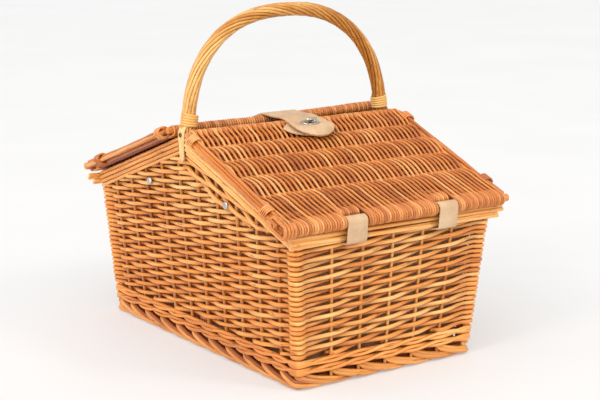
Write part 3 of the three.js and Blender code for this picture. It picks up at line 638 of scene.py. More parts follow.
def rod_tones(lengths, rod_length):
    """A row is rods joined end to end, each with its own tone and a thin tip. No two rows start alike."""
    tones, thins = np.zeros(len(lengths)), np.ones(len(lengths))
    start = -draw.uniform(0, rod_length)
    while start < lengths[-1]:
        reach = rod_length * draw.uniform(*ROD_SPREAD)
        inside = (lengths >= start) & (lengths < start + reach)
        tones[inside] = draw.random()
        thins[inside] = ROD_BUTT - ROD_TAPER * (lengths[inside] - start) / reach
        start += reach
    turn = draw.randrange(len(lengths))
    return np.roll(tones, turn), np.roll(thins, turn)


def painted_recess_shade(swing, depth):
    """Painted shade along a weaver: less where it passes behind a stake."""
    return 1 - depth + depth * swing


def toned(tones, outs, on_gable, on_end):
    """Tones brought between two limits on the gables and between two others on the end walls."""
    low, high = np.where(on_gables(outs)[:, None], on_gable, on_end).T
    return low + (high - low) * tones


def outwards(outs, swing):
    """Level outward directions as swings."""
    return line_of(outs[:, 0], outs[:, 1], 0.0) * swing


print("shade behind a stake", painted_recess_shade(-1, WEAVER_PAINTED_SHADE), "and before it", painted_recess_shade(1, WEAVER_PAINTED_SHADE))

# %% Randed rows
ROW_FOOT, ROW_PITCH, FIRST_ROW, LAST_ROW = 18.3, 6.25, 1, 43
WEAVER_RADIUS, WEAVER_ROD, WEAVER_SWING, DIP_SWING = 2.7, 620, 3.9, -0.35
GABLE_TONES, END_TONES = (0.28, 0.64), (0.2, 1.0)
PEAK_TONE, PEAK_FROM, PEAK_OVER = 0.45, 130, 80
wall_paths = []
for row in range(FIRST_ROW, LAST_ROW + 1):
    points, outs, lengths, knots, _ = ring(packed(ROW_FOOT + row * ROW_PITCH + draw.uniform(-0.4, 0.4)))
    turns = [{"post": 1, "dip": DIP_SWING}.get(kind, (-1) ** row * side) for _, kind, side in knots]
    swing = between([k[0] for k in knots], turns, lengths)
    tones, thins = rod_tones(lengths, WEAVER_ROD)
    out = outwards(outs, WEAVER_SWING)
    for run in stretches([has_room(p, o) for p, o in zip(points, outs)]):
        whole_ring = len(run) == len(points)
        ends = swing[run]
        if not whole_ring:
            ends[[0, 1, -2, -1]] = -1
        paler = toned(tones[run], outs[run], GABLE_TONES, END_TONES)
        paler += on_gables(outs[run]) * PEAK_TONE * np.clip((points[run, 2] - PEAK_FROM) / PEAK_OVER, 0, 1)
        # Each weaver is painted with shade where it passes behind a stake.
        wall_paths.append(path(points[run], WEAVER_RADIUS * thins[run], paler, ends, out[run],
                               closed=whole_ring, shade=painted_recess_shade(ends, WEAVER_PAINTED_SHADE), grain=tones[run]))
print("stretches of randing", len(wall_paths))

# %% Slanting rows under the front borders
# The second number is how deep the painted shade goes behind a stake in the slanting rows.
SLANT_ROD, SLANT_PAINTED_SHADE = 500, 0.16
PEAK_ROUND, SLANT_STAKE_Z = 9, 225
for side in (-1, 1):
    for row in range(SLANT_ROWS):
        y = np.linspace(PEAK_ROUND - wall_y(200), 14, 40)
        from_peak = np.where(y < 0, np.hypot(y, PEAK_ROUND), PEAK_ROUND + 0.1 * y)
        z = roof(from_peak, GABLE_TUCK - 2.6 - SLANT_PITCH * row)
        above = z > EAVE_Z + 7
        y, z = y[above], z[above]
        numbers = range(GABLE_STAKES) if side > 0 else range(GABLE_STAKES - 1, -1, -1)
        stakes = stake_places(GABLE_STAKES, GABLE_SPACING, SLANT_STAKE_Z, wall_y)
        swing = between(stakes, [-(-1) ** (k + row) for k in numbers], y)
        swing[:2] = -1
        tones, thins = rod_tones(y - y[0], SLANT_ROD)
        points = line_of(side * (wall_x(z) - MIDDLE_DEPTH), y, z)
        # Slanting rows are painted with shade where they pass behind a stake.
        wall_paths.append(path(points, WEAVER_RADIUS * thins, 0.6 + 0.4 * tones, swing,
                               (side * WEAVER_SWING, 0, 0), shade=painted_recess_shade(swing, SLANT_PAINTED_SHADE), grain=tones))
print("with the slanting rows under the front borders", len(wall_paths))

# %% Stakes and corner posts
STAKE_FOOT, GABLE_STAKE, END_STAKE = 8, 2.5, 2.1
# Stakes are painted with shade: deeply on the gables, where they show only in dark gaps, and lightly on the
# end walls.
GABLE_STAKE_SHADE, END_STAKE_SHADE = 0.4, 0.8
POST_SPAN, POST_RADIUS, BACKING_INSET, BACKING_RADII = (6, 196), 4.1, 5.5, {-1: 4.6, 1: 3.2}
stake_paths = []
for (nx, ny), (ax, ay), count, spacing in SIDES:
    for k in range(count):
        wall, other = (wall_x, wall_y) if ax else (wall_y, wall_x)
        place = stake_places(count, spacing, 100, wall)[k]
        stop = EAVE_Z - 0.5 if ax else roof(place, -19)
        line = []
        for z in np.linspace(STAKE_FOOT, stop, 14):
            u = stake_places(count, spacing, z, wall)[k]
            away = other(z) - MIDDLE_DEPTH
            line.append((ax * u + nx * away, ay * u + ny * away, z))
        radius = (END_STAKE if ax else GABLE_STAKE) * draw.uniform(0.9, 1.1)
        stake_paths.append(path(line, radius, draw.random() * 0.8, face=(nx, ny, 0),
                                shade=END_STAKE_SHADE if ax else GABLE_STAKE_SHADE))
for sx, sy in itertools.product((-1, 1), (-1, 1)):
    z = np.linspace(*POST_SPAN, 12)
    line = line_of(sx * (wall_x(z) - POST_INSET), sy * (wall_y(z) - POST_INSET), z)
    # Behind each post a rod painted very dark as shade closes the corner.
    backing = line - (BACKING_INSET * sx, BACKING_INSET * sy, 0)
    stake_paths.append(path(backing, BACKING_RADII[sx], 0.0, face=(sx, sy, 0), shade=0.1))
    stake_paths.append(path(line, POST_RADIUS, 0.4, face=(sx, 0, 0)))
print("stakes and posts", len(stake_paths))

# %% [markdown]
# At the foot two rows of waling lock the stakes: three rods travel together, each before two stakes and
# behind one, so every stroke rises over the next like a rope. Below them the foot border is made from the
# stakes' own ends, bent over in pairs and laid along the ground, each covering the tail of the last. On the
# gables the second rod of a pair lies in the first one's shadow, which is painted on it as dark shade. Three
# rods painted very dark as shade close the border behind.

# %% Wales
WALE_SWING, WALE_RISE, WALE_RADIUS, WALE_RODS, WALE_ROD = 3.6, 2.6, 2.45, 3, 700
WALE_GABLE_TONES, WALE_END_TONES = (0.0, 0.5), (0.35, 0.85)
wale_paths = []
for row in range(WALE_ROWS):
    z = WALE_FOOT + (row + 0.5) * WALE_HEIGHT
    points, outs, lengths, knots, whole = ring(lambda x, y: z)
    knots = [k for k in knots if k[1] != "dip"]
    stops = [k for n, k in enumerate(knots) if not (k[1] == "post" and knots[n - 1][1] == "post")]
    numbers = range(-1, WALE_RODS * len(stops) + 1)
    laps = [divmod(n, len(stops)) for n in numbers]
    places = [lap * whole + stops[n][0] for lap, n in laps]
    beats = [(n + row) % WALE_RODS for n in numbers]
    behind = [b == 2 and stops[n][1] == "stake" for b, (_, n) in zip(beats, laps)]
    at = np.concatenate([lengths + lap * whole for lap in range(WALE_RODS)])
    swing = between(places, [-1 if b else 1 for b in behind], at)
    lift = between(places, [(-WALE_RISE, WALE_RISE, 0)[b] for b in beats], at)
    tones, thins = rod_tones(at, WALE_ROD)
    line = np.tile(points, (WALE_RODS, 1)) + np.outer(lift, (0, 0, 1))
    outs = np.tile(outs, (WALE_RODS, 1))
    paler = toned(tones, outs, WALE_GABLE_TONES, WALE_END_TONES)
    # Wale rods are painted with shade where they pass behind a stake.
    wale_paths.append(path(line, WALE_RADIUS * thins, paler, swing, outwards(outs, WALE_SWING), closed=True,
                           shade=painted_recess_shade(swing, WEAVER_PAINTED_SHADE), grain=0.5 * tones))
print("wales", len(wale_paths), "of", WALE_RODS, "laps each")

# %% Along the foot
foot_flat, foot_outs, foot_lengths, foot_knots, foot_girth = ring(lambda x, y: 8)


def beside_foot(length, depth):
    """A point of the foot ring at a length round the basket and a depth inside the wall's face."""
    lap = np.append(foot_lengths, foot_girth)
    spot = np.mod(length, foot_girth)
    where = [np.interp(spot, lap, np.append(foot_flat[:, k], foot_flat[0, k])) for k in (0, 1)]
    out = [np.interp(spot, lap, np.append(foot_outs[:, k], foot_outs[0, k])) for k in (0, 1)]
    scale = (MIDDLE_DEPTH - depth) / np.hypot(*out)
    return where[0] + out[0] * scale, where[1] + out[1] * scale


def eased(points, steps):
    """A smooth line through a few points."""
    p = np.asarray(points, float)
    p = np.vstack([2 * p[0] - p[1], p, 2 * p[-1] - p[-2]])
    t = np.linspace(0, 1, steps, endpoint=False)[:, None]
    parts = []
    for a, b, c, d in zip(p, p[1:], p[2:], p[3:]):
        bend = 2 * a - 5 * b + 4 * c - d
        twist = 3 * b - a - 3 * c + d
        parts.append(0.5 * (2 * b + (c - a) * t + bend * t ** 2 + twist * t ** 3))
    return np.vstack(parts + [p[-2:-1]])


print("the foot is", round(foot_girth), "mm round")

# %% Foot border
FOOT_ROD, FOOT_TOP, FOOT_TAPER = 3.1, 23, (1.06, 0.84)
FOOT_BACKING, FOOT_BACKING_ROD = ((11.5, 4.0), (12.4, 10.4), (12.8, 16.8)), 3.4
# length ahead of the stake, height and depth of a stroke
FOOT_STROKE = [(-2, 23, 7.5), (1, 17.5, 4.8), (7, 13.6, 2.8), (24, 8.6, 2.0), (46, 4.9, 2.4), (64, 3.7, 4.4),
               (80, 3.6, 8.0)]
SECOND_ROD = (3, 3.0, 1.6)
foot_paths = []
for place, _, _ in [k for k in foot_knots if k[1] != "dip"]:
    on_gable = np.interp(place, foot_lengths, np.abs(foot_outs[:, 0])) > GABLE_FACING
    # On the gables the second rod of a pair is painted dark as shade.
    for shift, shade in (((0, 0, 0), 1.0), (SECOND_ROD, 0.1 if on_gable else 1.0)):
        ahead, above, behind = (eased(FOOT_STROKE, 6) + shift).T
        x, y = beside_foot(place + ahead, behind)
        taper = np.linspace(*FOOT_TAPER, len(ahead))
        line = line_of(x, y, np.minimum(above, FOOT_TOP))
        foot_paths.append(path(line, FOOT_ROD * taper, 0.4 * draw.random(), shade=shade))
# The backing rods are painted very dark as shade.
for depth, z in FOOT_BACKING:
    x, y = beside_foot(foot_lengths, depth)
    foot_paths.append(path(line_of(x, y, z), FOOT_BACKING_ROD, 0.0, closed=True, shade=0.1))
print("foot border rods", len(foot_paths))

# %% Walls, wales, stakes and foot as pieces
rods("wall_weave", wall_paths, wall_willow, "basket", "wall_willow", every("wall_%s", ENDS + HANDS),
     Unsteadiness=0.0016, Unsteady_Scale=26.0, Seed=1.0)
rods("wall_wales", wale_paths, wall_willow, "basket", "wall_willow", Unsteadiness=0.0008, Seed=2.0)
rods("wall_stakes", stake_paths, rod_willow, "basket", "rod_willow", every("corner_post_%s_%s", ENDS, HANDS),
     Unsteadiness=0.0008, Seed=3.0)
rods("foot_border", foot_paths, rod_willow, "basket", "rod_willow", every("foot_border_%s", ENDS + HANDS),
     Unsteadiness=0.0006, Seed=4.0)

# %% [markdown]
# The base is a plain weave that only shows from below: stout sticks along its length and weavers across
# them. Laying it from the same paths costs little and closes the basket as the real one is closed.

# %% Woven base
BASE_HALF_X, BASE_HALF_Y, BASE_MIDDLE = 123.0, 202.2, 8.6
BASE_STICKS, BASE_ROWS, OUTER_STICK = 7, 61, 105
BASE_STICK, BASE_WEAVER, BASE_SWING = 3.1, 2.5, 2.9
base_paths = []
stick_places = np.linspace(-OUTER_STICK, OUTER_STICK, BASE_STICKS)
for x in stick_places:
    line = line_of(x, np.linspace(-BASE_HALF_Y, BASE_HALF_Y, 10), BASE_MIDDLE)
    base_paths.append(path(line, BASE_STICK, draw.random()))
for row in range(BASE_ROWS - 1):
    y = -BASE_HALF_Y + (row + 1) * 2 * BASE_HALF_Y / BASE_ROWS
    x = np.linspace(-BASE_HALF_X, BASE_HALF_X, 38)
    swing = between(stick_places, [(-1) ** (k + row) for k in range(BASE_STICKS)], x)
    base_paths.append(path(line_of(x, y, BASE_MIDDLE), BASE_WEAVER, draw.random(), swing, (0, 0, BASE_SWING)))
rods("base_weave", base_paths, wall_willow, "basket", "wall_willow", ["base_panel"],
     Unsteadiness=0.0008, Seed=5.0, Sides=6)

# %% [markdown]
# The rims are bundles of rods. Four rods run along each end wall, crossing once in pairs, and carry the
# leather hinge tabs. Along the gables four more climb side by side from the eaves to the handle's foot.
# Each is given a slight bow of its own, so that the bundle looks laid by hand. One more rod runs inside each
# bundle, painted with its shade, and behind the gables' bundles a rod painted very dark as shade closes the
# last slits.

# %% Rims
# heights at the two ends, how far it reaches, and the distance from the middle
RIM_RODS = [(183.8, 187.2, 165.0, 230.2), (187.8, 183.8, 165.0, 232.4),
            (191.6, 195.2, 173.0, 230.2), (195.2, 191.4, 173.0, 232.2)]
RIM_FROM, RIM_TAPER = -161.0, (2.8, 2.5)
RIM_INNER_Y, RIM_INNER_Z, RIM_INNER_HALF, RIM_INNER_ROD = 219.5, 186.5, 140, 3.2
# Inner rods are painted with shade.
INNER_SHADE = 0.6
rim_paths = []
for sy in (-1, 1):
    for start_z, stop_z, reach, depth in RIM_RODS:
        share = np.linspace(0, 1, 40)
        x = RIM_FROM + (reach - RIM_FROM) * share
        z = start_z + (stop_z - start_z) * (1 - np.cos(math.pi * share)) / 2 + 0.4 * np.sin(x / 47 + start_z)
        rim_paths.append(path(line_of(-sy * x, sy * depth, z), np.linspace(*RIM_TAPER, 40),
                              0.5 + 0.5 * draw.random()))
    inner = line_of(np.linspace(-RIM_INNER_HALF, RIM_INNER_HALF, 20), sy * RIM_INNER_Y, RIM_INNER_Z)
    rim_paths.append(path(inner, RIM_INNER_ROD, 0.4, shade=INNER_SHADE))
rods("rim_rods", rim_paths, rod_willow, "basket", "rod_willow",
     every("rim_%s_%s_rod", ENDS, ("lower", "upper")), Unsteadiness=0.0006, Seed=6.0)

# %% Gable borders
# offset from the roof, inset from the wall and radius
GABLE_RODS = [(-13.0, 2.2, 2.9), (-18.6, 0.9, 2.9), (-24.0, 1.2, 2.8), (-29.2, 2.4, 2.6)]
BORDER_BACKING, BORDER_INNER = (-21.0, 7.0, 4.2), (-28.4, 11.6, 3.4)
BORDER_BOW, PEAK_CLOSER = 1.1, 0.10
border_paths = []
for sx, sy in itertools.product((-1, 1), (-1, 1)):
    y = np.linspace(7.6, 226, 34)
    close = 1 - PEAK_CLOSER * np.linspace(1, 0, 34) ** 2
    for offset, inset, radius in GABLE_RODS:
        z = roof(y, offset) + draw.uniform(-BORDER_BOW, BORDER_BOW) * np.sin(np.linspace(0, math.pi, 34))
        tone = draw.random() * 0.5 + (0.5 if sy < 0 else 0.0)
        border_paths.append(path(line_of(sx * (wall_x(z) - inset * close), sy * y, z), radius, tone))
    # The backing rod is painted very dark as shade, the inner one with lighter painted shade.
    hidden = [(y, BORDER_BACKING, 0.0, 0.1), (np.linspace(0, 214, 30), BORDER_INNER, 0.4, INNER_SHADE)]
    for y, (offset, inset, radius), tone, shade in hidden:
        z = roof(y, offset)
        border_paths.append(path(line_of(sx * (wall_x(z) - inset), sy * y, z), radius, tone, shade=shade))
rods("gable_border", border_paths, rod_willow, "basket", "rod_willow",
     every("gable_rod_%s_%s_%s", HANDS, ENDS, ("upper", "lower")), Unsteadiness=0.001, Seed=7.0)

# %% [markdown]
# On the lids the weavers run the other way, up the slope, over and under thin cross sticks. Where half of
# them pass over a stick they stand out as a row of strokes with dark gaps, and halfway to the next stick
# all lie level; where a weaver dips down between the sticks it is painted with shade. At the eave every
# weaver turns round the stout eave stick, which is why that edge looks finely wrapped, and at the ridge they
# turn round the ridge stick in the same way. At one end of the eave the last few turns are thicker and stand
# out as a roll; the eave stick is painted with shade that is darkest at that end, inside the roll, and the
# cross sticks under the weavers are painted with shade too. Each side edge is a bundle of loose rods, tied
# twice, with darker rods under it, painted with shade, that close the gap to the lining.

# %% One weaver of a lid
LID_ROD, LID_PAINTED_SHADE = 1.7, 0.85
EAVE_STICK, RIDGE_STICK, CROSS_STICK = 5.0, 4.1, 2.9
CROSS_STICKS = [53.0, 98.0, 141.0, 181.0, 212.0]
LOOP_X, LOOP_HALF, NOTCH_STICK, NOTCH_REACH = 71.5, 16.4, 17.5, 4.0


def arc(s, n, radius, start, stop, count):
    """Points round a stick, from one angle to another in degrees."""
    angles = np.radians(np.linspace(start, stop, count))
    return np.column_stack([s + radius * np.cos(angles), n + radius * np.sin(angles)])


def lid_weaver(x, number, ridge_lift):
    """Places of one weaver, as runs up the slope and heights over the sticks, and its painted shades."""
    notch = min(abs(x - LOOP_X), abs(x + LOOP_X)) < LOOP_HALF
    centre, reach = (NOTCH_STICK, NOTCH_REACH) if notch else (0.0, EAVE_STICK + LID_ROD)
    turn = arc(centre, 0.0, reach, -90, -270, 9)
    lift = CROSS_STICK + LID_ROD
    heights = [reach] + [lift * (-1) ** (number + k) for k in range(len(CROSS_STICKS))]
    s = np.arange(centre + 4, CROSS_STICKS[-1] + 0.1, 4.5)
    body = np.column_stack([s, between([centre] + CROSS_STICKS, heights, s)])
    over = arc(LID_RUN, ridge_lift, RIDGE_STICK + LID_ROD, 105, -110, 10)
    tuck = [(centre + 20, -6.0), (centre + 9, -5.0 if notch else -7.2)]
    line = np.vstack([tuck, turn, body, over, [(LID_RUN - 11, -6.6)]])
    # Painted shade: darker the deeper the weaver dips between the sticks.
    shade = np.clip(1 + LID_PAINTED_SHADE * (line[:, 1] + 1) / (lift - 1), 1 - LID_PAINTED_SHADE, 1)
    shade[:len(tuck) + len(turn)] = 1
    shade[-len(over) - 1:] = 1
    return line, shade


print("a weaver of a lid has", len(lid_weaver(0.0, 0, 0.0)[0]), "points")

# %% Weavers of a lid
LID_HALF, LID_PITCH = 166.0, 3.75
RIDGE_BOW, BOW_START, BOW_OVER = 5.0, 60, 232


def ridge_bow(end, x):
    """The back lid's ridge stick is not quite straight: one end stands a little higher."""
    return RIDGE_BOW * max(0.0, (BOW_START - x) / BOW_OVER) if end == "back" else 0.0


def lid_weavers(end):
    """Paths of a lid's weavers."""
    weavers = []
    count = round(2 * LID_HALF / LID_PITCH)
    for k in range(count):
        x = -LID_HALF + (k + 0.5) * 2 * LID_HALF / count
        line, shade = lid_weaver(x, k, ridge_bow(end, x))
        radius = LID_ROD * draw.uniform(0.9, 1.06)
        weavers.append(path(on_lid(end, x, *line.T), radius, draw.random(), face=(1, 0, 0), shade=shade))
    return weavers


print("weavers of a lid", round(2 * LID_HALF / LID_PITCH))

# %% Sticks of a lid
EAVE_SPAN, RIDGE_SPAN, CROSS_SPAN = (-175, 174), (-172, 172), (-167, 167)
NOTCH_HALF, NOTCH_ROD = 17, 2.0
CORNER_ROLLS = [(-176.4, 20.0), (-171.6, 16.0), (-166.8, 0.0), (-162.0, 0.0)]  # place, extra length
ROLL_ALONG, ROLL_UP, ROLL_LEAN, ROLL_ROD = 7.6, 7.7, 1.6, 2.2


def lid_sticks(end):
    """Paths of a lid's eave, ridge and cross sticks, and of the roll at the eave's corner."""
    sticks = []

    def stick(low, high, s, radius, tone, shade=1.0):
        x = np.linspace(low, high, 30)
        lift = [ridge_bow(end, v) if s == LID_RUN else 0.0 for v in x]
        sticks.append(path(on_lid(end, x, s, lift), radius, tone, shade=shade))

    # The eave stick is painted with shade, darkest at the end inside the roll and fading along it.
    stick(*EAVE_SPAN, 0, EAVE_STICK, 0.7, np.linspace(0.1, 1.0, 30))
    for x, longer in CORNER_ROLLS:
        angle = np.linspace(0, 2 * math.pi, 24, endpoint=False) + math.pi / 24
        s = ROLL_ALONG * np.cos(angle) + longer * (np.cos(angle) > 0)
        loop = on_lid(end, x + ROLL_LEAN * np.cos(angle), s, ROLL_UP * np.sin(angle))
        sticks.append(path(loop, ROLL_ROD, 0.6, face=(1, 0, 0), closed=True))
    stick(*RIDGE_SPAN, LID_RUN, RIDGE_STICK, 0.6)
    for s in CROSS_STICKS:
        # Cross sticks lie under the weavers and are painted with half shade.
        stick(*CROSS_SPAN, s, CROSS_STICK, 0.3, 0.5)
    for middle in (-LOOP_X, LOOP_X):
        stick(middle - NOTCH_HALF, middle + NOTCH_HALF, NOTCH_STICK, NOTCH_ROD, 0.5)
    return sticks


print("sticks and rolls of a lid", len(lid_sticks("front")))

# %% Side bundles of a lid
SIDE_MIDDLE, SIDE_STARTS, SIDE_END, SIDE_SWAY = 170.6, {-1: 13, 1: 4}, 222, 0.9
SIDE_RODS = [(-4.3, 0.3, 2.7), (0.4, 0.9, 2.8), (4.6, -0.4, 2.6), (-1.6, 4.6, 2.3)]  # across, above, radius
UNDER_RODS = [(146.5, -5.2, 0.1), (153.0, -5.2, 0.1), (159.5, -5.2, 0.1), (164.6, -3.4, 0.62)]  # x, n, shade
UNDER_ROD, UNDER_SPAN = 3.4, (16, 219)
TIE_PLACES, TIE_TURNS, TIE_PITCH, TIE_ROD = (36.0, 207.0), 4, 3.2, 1.6
TIE_MIDDLE, TIE_ACROSS, TIE_LIFT, TIE_UP = 170.4, 8.2, 0.9, 6.9


def lid_sides(end):
    """Paths of a lid's side bundles and of their ties."""
    sides, ties = [], []
    for side in (-1, 1):
        for across, above, radius in SIDE_RODS:
            s = np.linspace(SIDE_STARTS[side], SIDE_END, 40)
            sway = SIDE_SWAY * np.sin(s / draw.uniform(34, 60) + draw.uniform(0, 6))
            points = on_lid(end, side * (SIDE_MIDDLE + across + sway), s, above + 0.5 * sway)
            sides.append(path(points, np.linspace(radius, 0.85 * radius, 40), draw.random()))
        # The rods under the bundle are painted dark as shade, the outermost one more lightly.
        for x, n, shade in UNDER_RODS:
            points = on_lid(end, side * x, np.linspace(*UNDER_SPAN, 20), n)
            sides.append(path(points, UNDER_ROD, 0.3 * shade, shade=shade))
        for low in TIE_PLACES:
            turns = np.linspace(0, 2 * math.pi * TIE_TURNS, 80)
            x = side * (TIE_MIDDLE + TIE_ACROSS * np.cos(turns))
            s = low + turns / (2 * math.pi) * TIE_PITCH
            ties.append(path(on_lid(end, x, s, TIE_LIFT + TIE_UP * np.sin(turns)), TIE_ROD, draw.random()))
    return sides, ties


print("a side bundle has", len(SIDE_RODS), "rods over", len(UNDER_RODS), "darker ones")

# %% Lids as pieces
for end in ENDS:
    body = end + "_lid"
    weavers, sticks = lid_weavers(end), lid_sticks(end)
    sides, ties = lid_sides(end)
    rods(body + "_weavers", weavers, lid_willow, body, "lid_willow", [body + "_weave"],
         Unsteadiness=0.0022, Unsteady_Scale=22.0, Seed=8.0)
    rods(body + "_sticks", sticks, lid_willow, body, "lid_willow",
         [body + "_eave_stick", body + "_ridge_stick"],
         Unsteadiness=0.0012, Unsteady_Scale=16.0, Seed=9.0, Sides=14)
    rods(body + "_sides", sides, lid_willow, body, "rod_willow", every(body + "_side_rod_%s", HANDS),
         Unsteadiness=0.0012, Seed=10.0)
    rods(body + "_ties", ties, lid_willow, body, "rod_willow", Unsteadiness=0.0008, Seed=11.0)

# %% [markdown]
# The handle is a bow of eleven thin rods twisted like a rope round a core, which is painted dark as shade.
# They lie almost straight at the feet and turn fastest at the top. Flat pale cane binds them where they leave
# the basket, and a tapered end of cane is nailed down over the peak of each gable. The strands are painted
# lighter towards the left, as light falling from that side, so they are darker towards the right.

# %% Bow handle
BOW_RADIUS, BOW_CENTRE, BOW_FULLNESS = 155.0, 281.0, (2.45, 2.2)
STRANDS, STRAND_RADIUS, STRAND_RING, STRAND_TURNS, TURNS_AT_TOP = 11, 2.0, 7.2, 2.0, 0.6
CORE_FOOT, CORE_RADIUS, STRAND_FOOT = 268.0, 5.4, 272.0
SIDEWAYS = np.array([0.0, 1.0, 0.0])


def bow(foot, count):
    """Points, outward directions and shares along the bow, fuller than a half circle, most on the left."""
    leg = BOW_CENTRE - foot
    whole = 2 * leg + math.pi * BOW_RADIUS
    share = np.linspace(0, 1, count)
    angle = math.pi - np.clip((share * whole - leg) / BOW_RADIUS, 0, math.pi)
    drop = np.clip(leg - np.where(share < 0.5, share, 1 - share) * whole, 0, None)
    out = line_of(np.cos(angle), 0.0, np.sin(angle))
    power = np.where(out[:, 0] < 0, *BOW_FULLNESS)
    full = (np.abs(out[:, 0]) ** power + np.abs(out[:, 2]) ** power) ** (-1 / power)
    centre = (BOW_RADIUS * full)[:, None] * out + np.outer(BOW_CENTRE - drop, (0, 0, 1))
    return centre, out, share


centre, _, _ = bow(CORE_FOOT, 70)
# The core is painted dark as shade.
handle_paths = [path(centre, CORE_RADIUS, 0.0, face=SIDEWAYS, shade=0.0)]
centre, out, share = bow(STRAND_FOOT, 150)
twist = 2 * math.pi * STRAND_TURNS * (share - TURNS_AT_TOP * np.sin(2 * math.pi * share) / (2 * math.pi))
for k in range(STRANDS):
    angle = 2 * math.pi * k / STRANDS - twist
    points = centre + STRAND_RING * (np.cos(angle)[:, None] * out + np.sin(angle)[:, None] * SIDEWAYS)
    radius = STRAND_RADIUS * draw.uniform(0.92, 1.06)
    # Part of each strand's tone is painted light: lighter towards the left foot.
    handle_paths.append(path(points, radius, 0.7 * draw.random() + 0.5 * (1 - share), face=SIDEWAYS))
rods("bow_handle", handle_paths, handle_willow, "basket", "handle_willow", ["handle_core", "handle_twist"],
     Unsteadiness=0.0005, Unsteady_Scale=60.0, Seed=12.0)

# %% Cane bindings at the handle's feet
BIND_LOW, BIND_HIGH, BIND_TURNS, BIND_RING, BIND_CANE = 294.5, 311.0, 5.3, 10.3, 1.75
bind_paths = []
for side in (-1, 1):
    turns = np.linspace(0, 1, 130)
    z = BIND_LOW + (BIND_HIGH - BIND_LOW) * turns
    lean = np.arcsin(np.clip(z - BOW_CENTRE, 0, None) / BOW_RADIUS)
    axis = line_of(side * BOW_RADIUS * np.cos(lean), 0.0, z)
    away = line_of(side * np.cos(lean), 0.0, np.sin(lean))
    angle = 2 * math.pi * BIND_TURNS * turns
    ray = np.cos(angle)[:, None] * away + np.sin(angle)[:, None] * SIDEWAYS
    bind_paths.append(path(axis + BIND_RING * ray, BIND_CANE, 0.6 + 0.3 * (side > 0), face=ray))
rods("handle_binding", bind_paths, pale_cane, "basket", "pale_cane", every("handle_binding_%s", HANDS),
     Flatness=0.62, Unsteadiness=0.0002, Seed=13.0, Sides=10)

# %% [markdown]
# Flat things, such as the cane tails, the leather tabs and the strap, are ribbons: a rounded section carried
# along a line, wider or narrower as it goes. A swept curve would do, but a ribbon built ring by ring can
# taper to a round tongue and keep its edges soft, and its ends are closed.

# %% A ribbon, ring by ring
def ribbon(centres, across, normals, widths, thickness, closed=False, soft=0.45):
    """Points and faces of a ribbon. The ways across and out of it, and its widths, may change along it."""
    points, faces, count = [], [], len(centres)
    across, normals = (np.broadcast_to(np.asarray(way, float), (count, 3)) for way in (across, normals))
    corner = np.radians([0, 30, 60, 90])
    for c, a, n, w in zip(centres, across, normals, np.broadcast_to(widths, count)):
        edge = min(thickness * soft, w * 0.45)
        for turn, (sa, sn) in enumerate(((1, 1), (-1, 1), (-1, -1), (1, -1))):
            for angle in corner + turn * math.pi / 2:
                u = sa * (w / 2 - edge) + edge * math.cos(angle)
                v = sn * (thickness / 2 - edge) + edge * math.sin(angle)
                points.append(c + a * u + n * v)
    ring_size = len(points) // count
    for k in range(count if closed else count - 1):
        for j in range(ring_size):
            a, b = k * ring_size + j, k * ring_size + (j + 1) % ring_size
            c, d = (b + ring_size) % len(points), (a + ring_size) % len(points)
            faces.append((a, b, c, d))
    if not closed:
        faces.append(tuple(range(ring_size))[::-1])
        faces.append(tuple(range((count - 1) * ring_size, count * ring_size)))
    return points, faces


tape = ribbon(line_of(np.linspace(0, 10, 3), 0.0, 0.0), SIDEWAYS, (0, 0, 1), 6.0, 2.0)
print("a straight ribbon of two lengths has", len(tape[0]), "points and", len(tape[1]), "faces")

# %% Cane tails at the handle's feet
TAIL_TOP, TAIL_TIP, TAIL_THICKNESS = 308.0, 250.5, 2.2
tails = []
for side in (-1, 1):
    z = np.linspace(TAIL_TOP, TAIL_TIP, 30)
    x = np.interp(z, [TAIL_TIP, 282.0, 290.0, 296.0, TAIL_TOP], [164.2, 165.6, 165.2, 162.0, 159.6])
    width = np.interp(z, [TAIL_TIP, TAIL_TIP + 4, 284.0, 300.0, TAIL_TOP], [4.0, 9.0, 14.0, 13.0, 6.0])
    tails.append(ribbon(line_of(side * x, 0.0, z), SIDEWAYS, (side, 0, 0), width, TAIL_THICKNESS))
print("cane tails", len(tails))


# %% Split cane
def cane_tail_finish():
    """Split cane: pale, with long fibres straight down it."""
    material, tree, shader = finish_named("split_cane")
    drawn = vector_calc(tree, "MULTIPLY", object_place(tree), (900.0, 900.0, 45.0))
    fibre = noise(tree, drawn, 1.0, 3.0)
    colour = ramp(tree, fibre, (0.25, srgb(214, 164, 100)), (0.55, srgb(240, 204, 140)),
                  (0.8, srgb(252, 228, 178)))
    tree.links.new(colour, shader.inputs["Base Color"])
    vary(tree, shader, "Roughness", fibre, 0.38, 0.6)
    fine_bump(tree, shader, fibre, 0.4, 0.0004)
    return material


split_cane = cane_tail_finish()
print("cane finish", split_cane.name)


# %% Ribbons as pieces
def shaped(name, shapes, material):
    """One object from several lists of points and faces, smooth, with its faces turned outwards."""
    points, faces = [], []
    for some_points, some_faces in shapes:
        first = len(points)
        points.extend(some_points)
        faces.extend(tuple(first + k for k in face) for face in some_faces)
    mesh = bpy.data.meshes.new(name)
    mesh.from_pydata([tuple(np.asarray(p) * MM) for p in points], [], faces)
    work = bmesh.new()
    work.from_mesh(mesh)
    bmesh.ops.recalc_face_normals(work, faces=work.faces)
    work.to_mesh(mesh)
    work.free()
    mesh.shade_smooth()
    mesh.materials.append(material)
    return placed(name, mesh)


settle(shaped("handle_tails", tails, split_cane), "basket")

# %% [markdown]
# The strap, its patch and the hinge tabs are plain beige hide. Hide has a fine pebbled grain with shallow
# creases, and a faint cloudiness. Cells from a Voronoi texture make the pebbles, two sizes of noise the
# clouds and creases, and the same pattern breaks up the gloss.

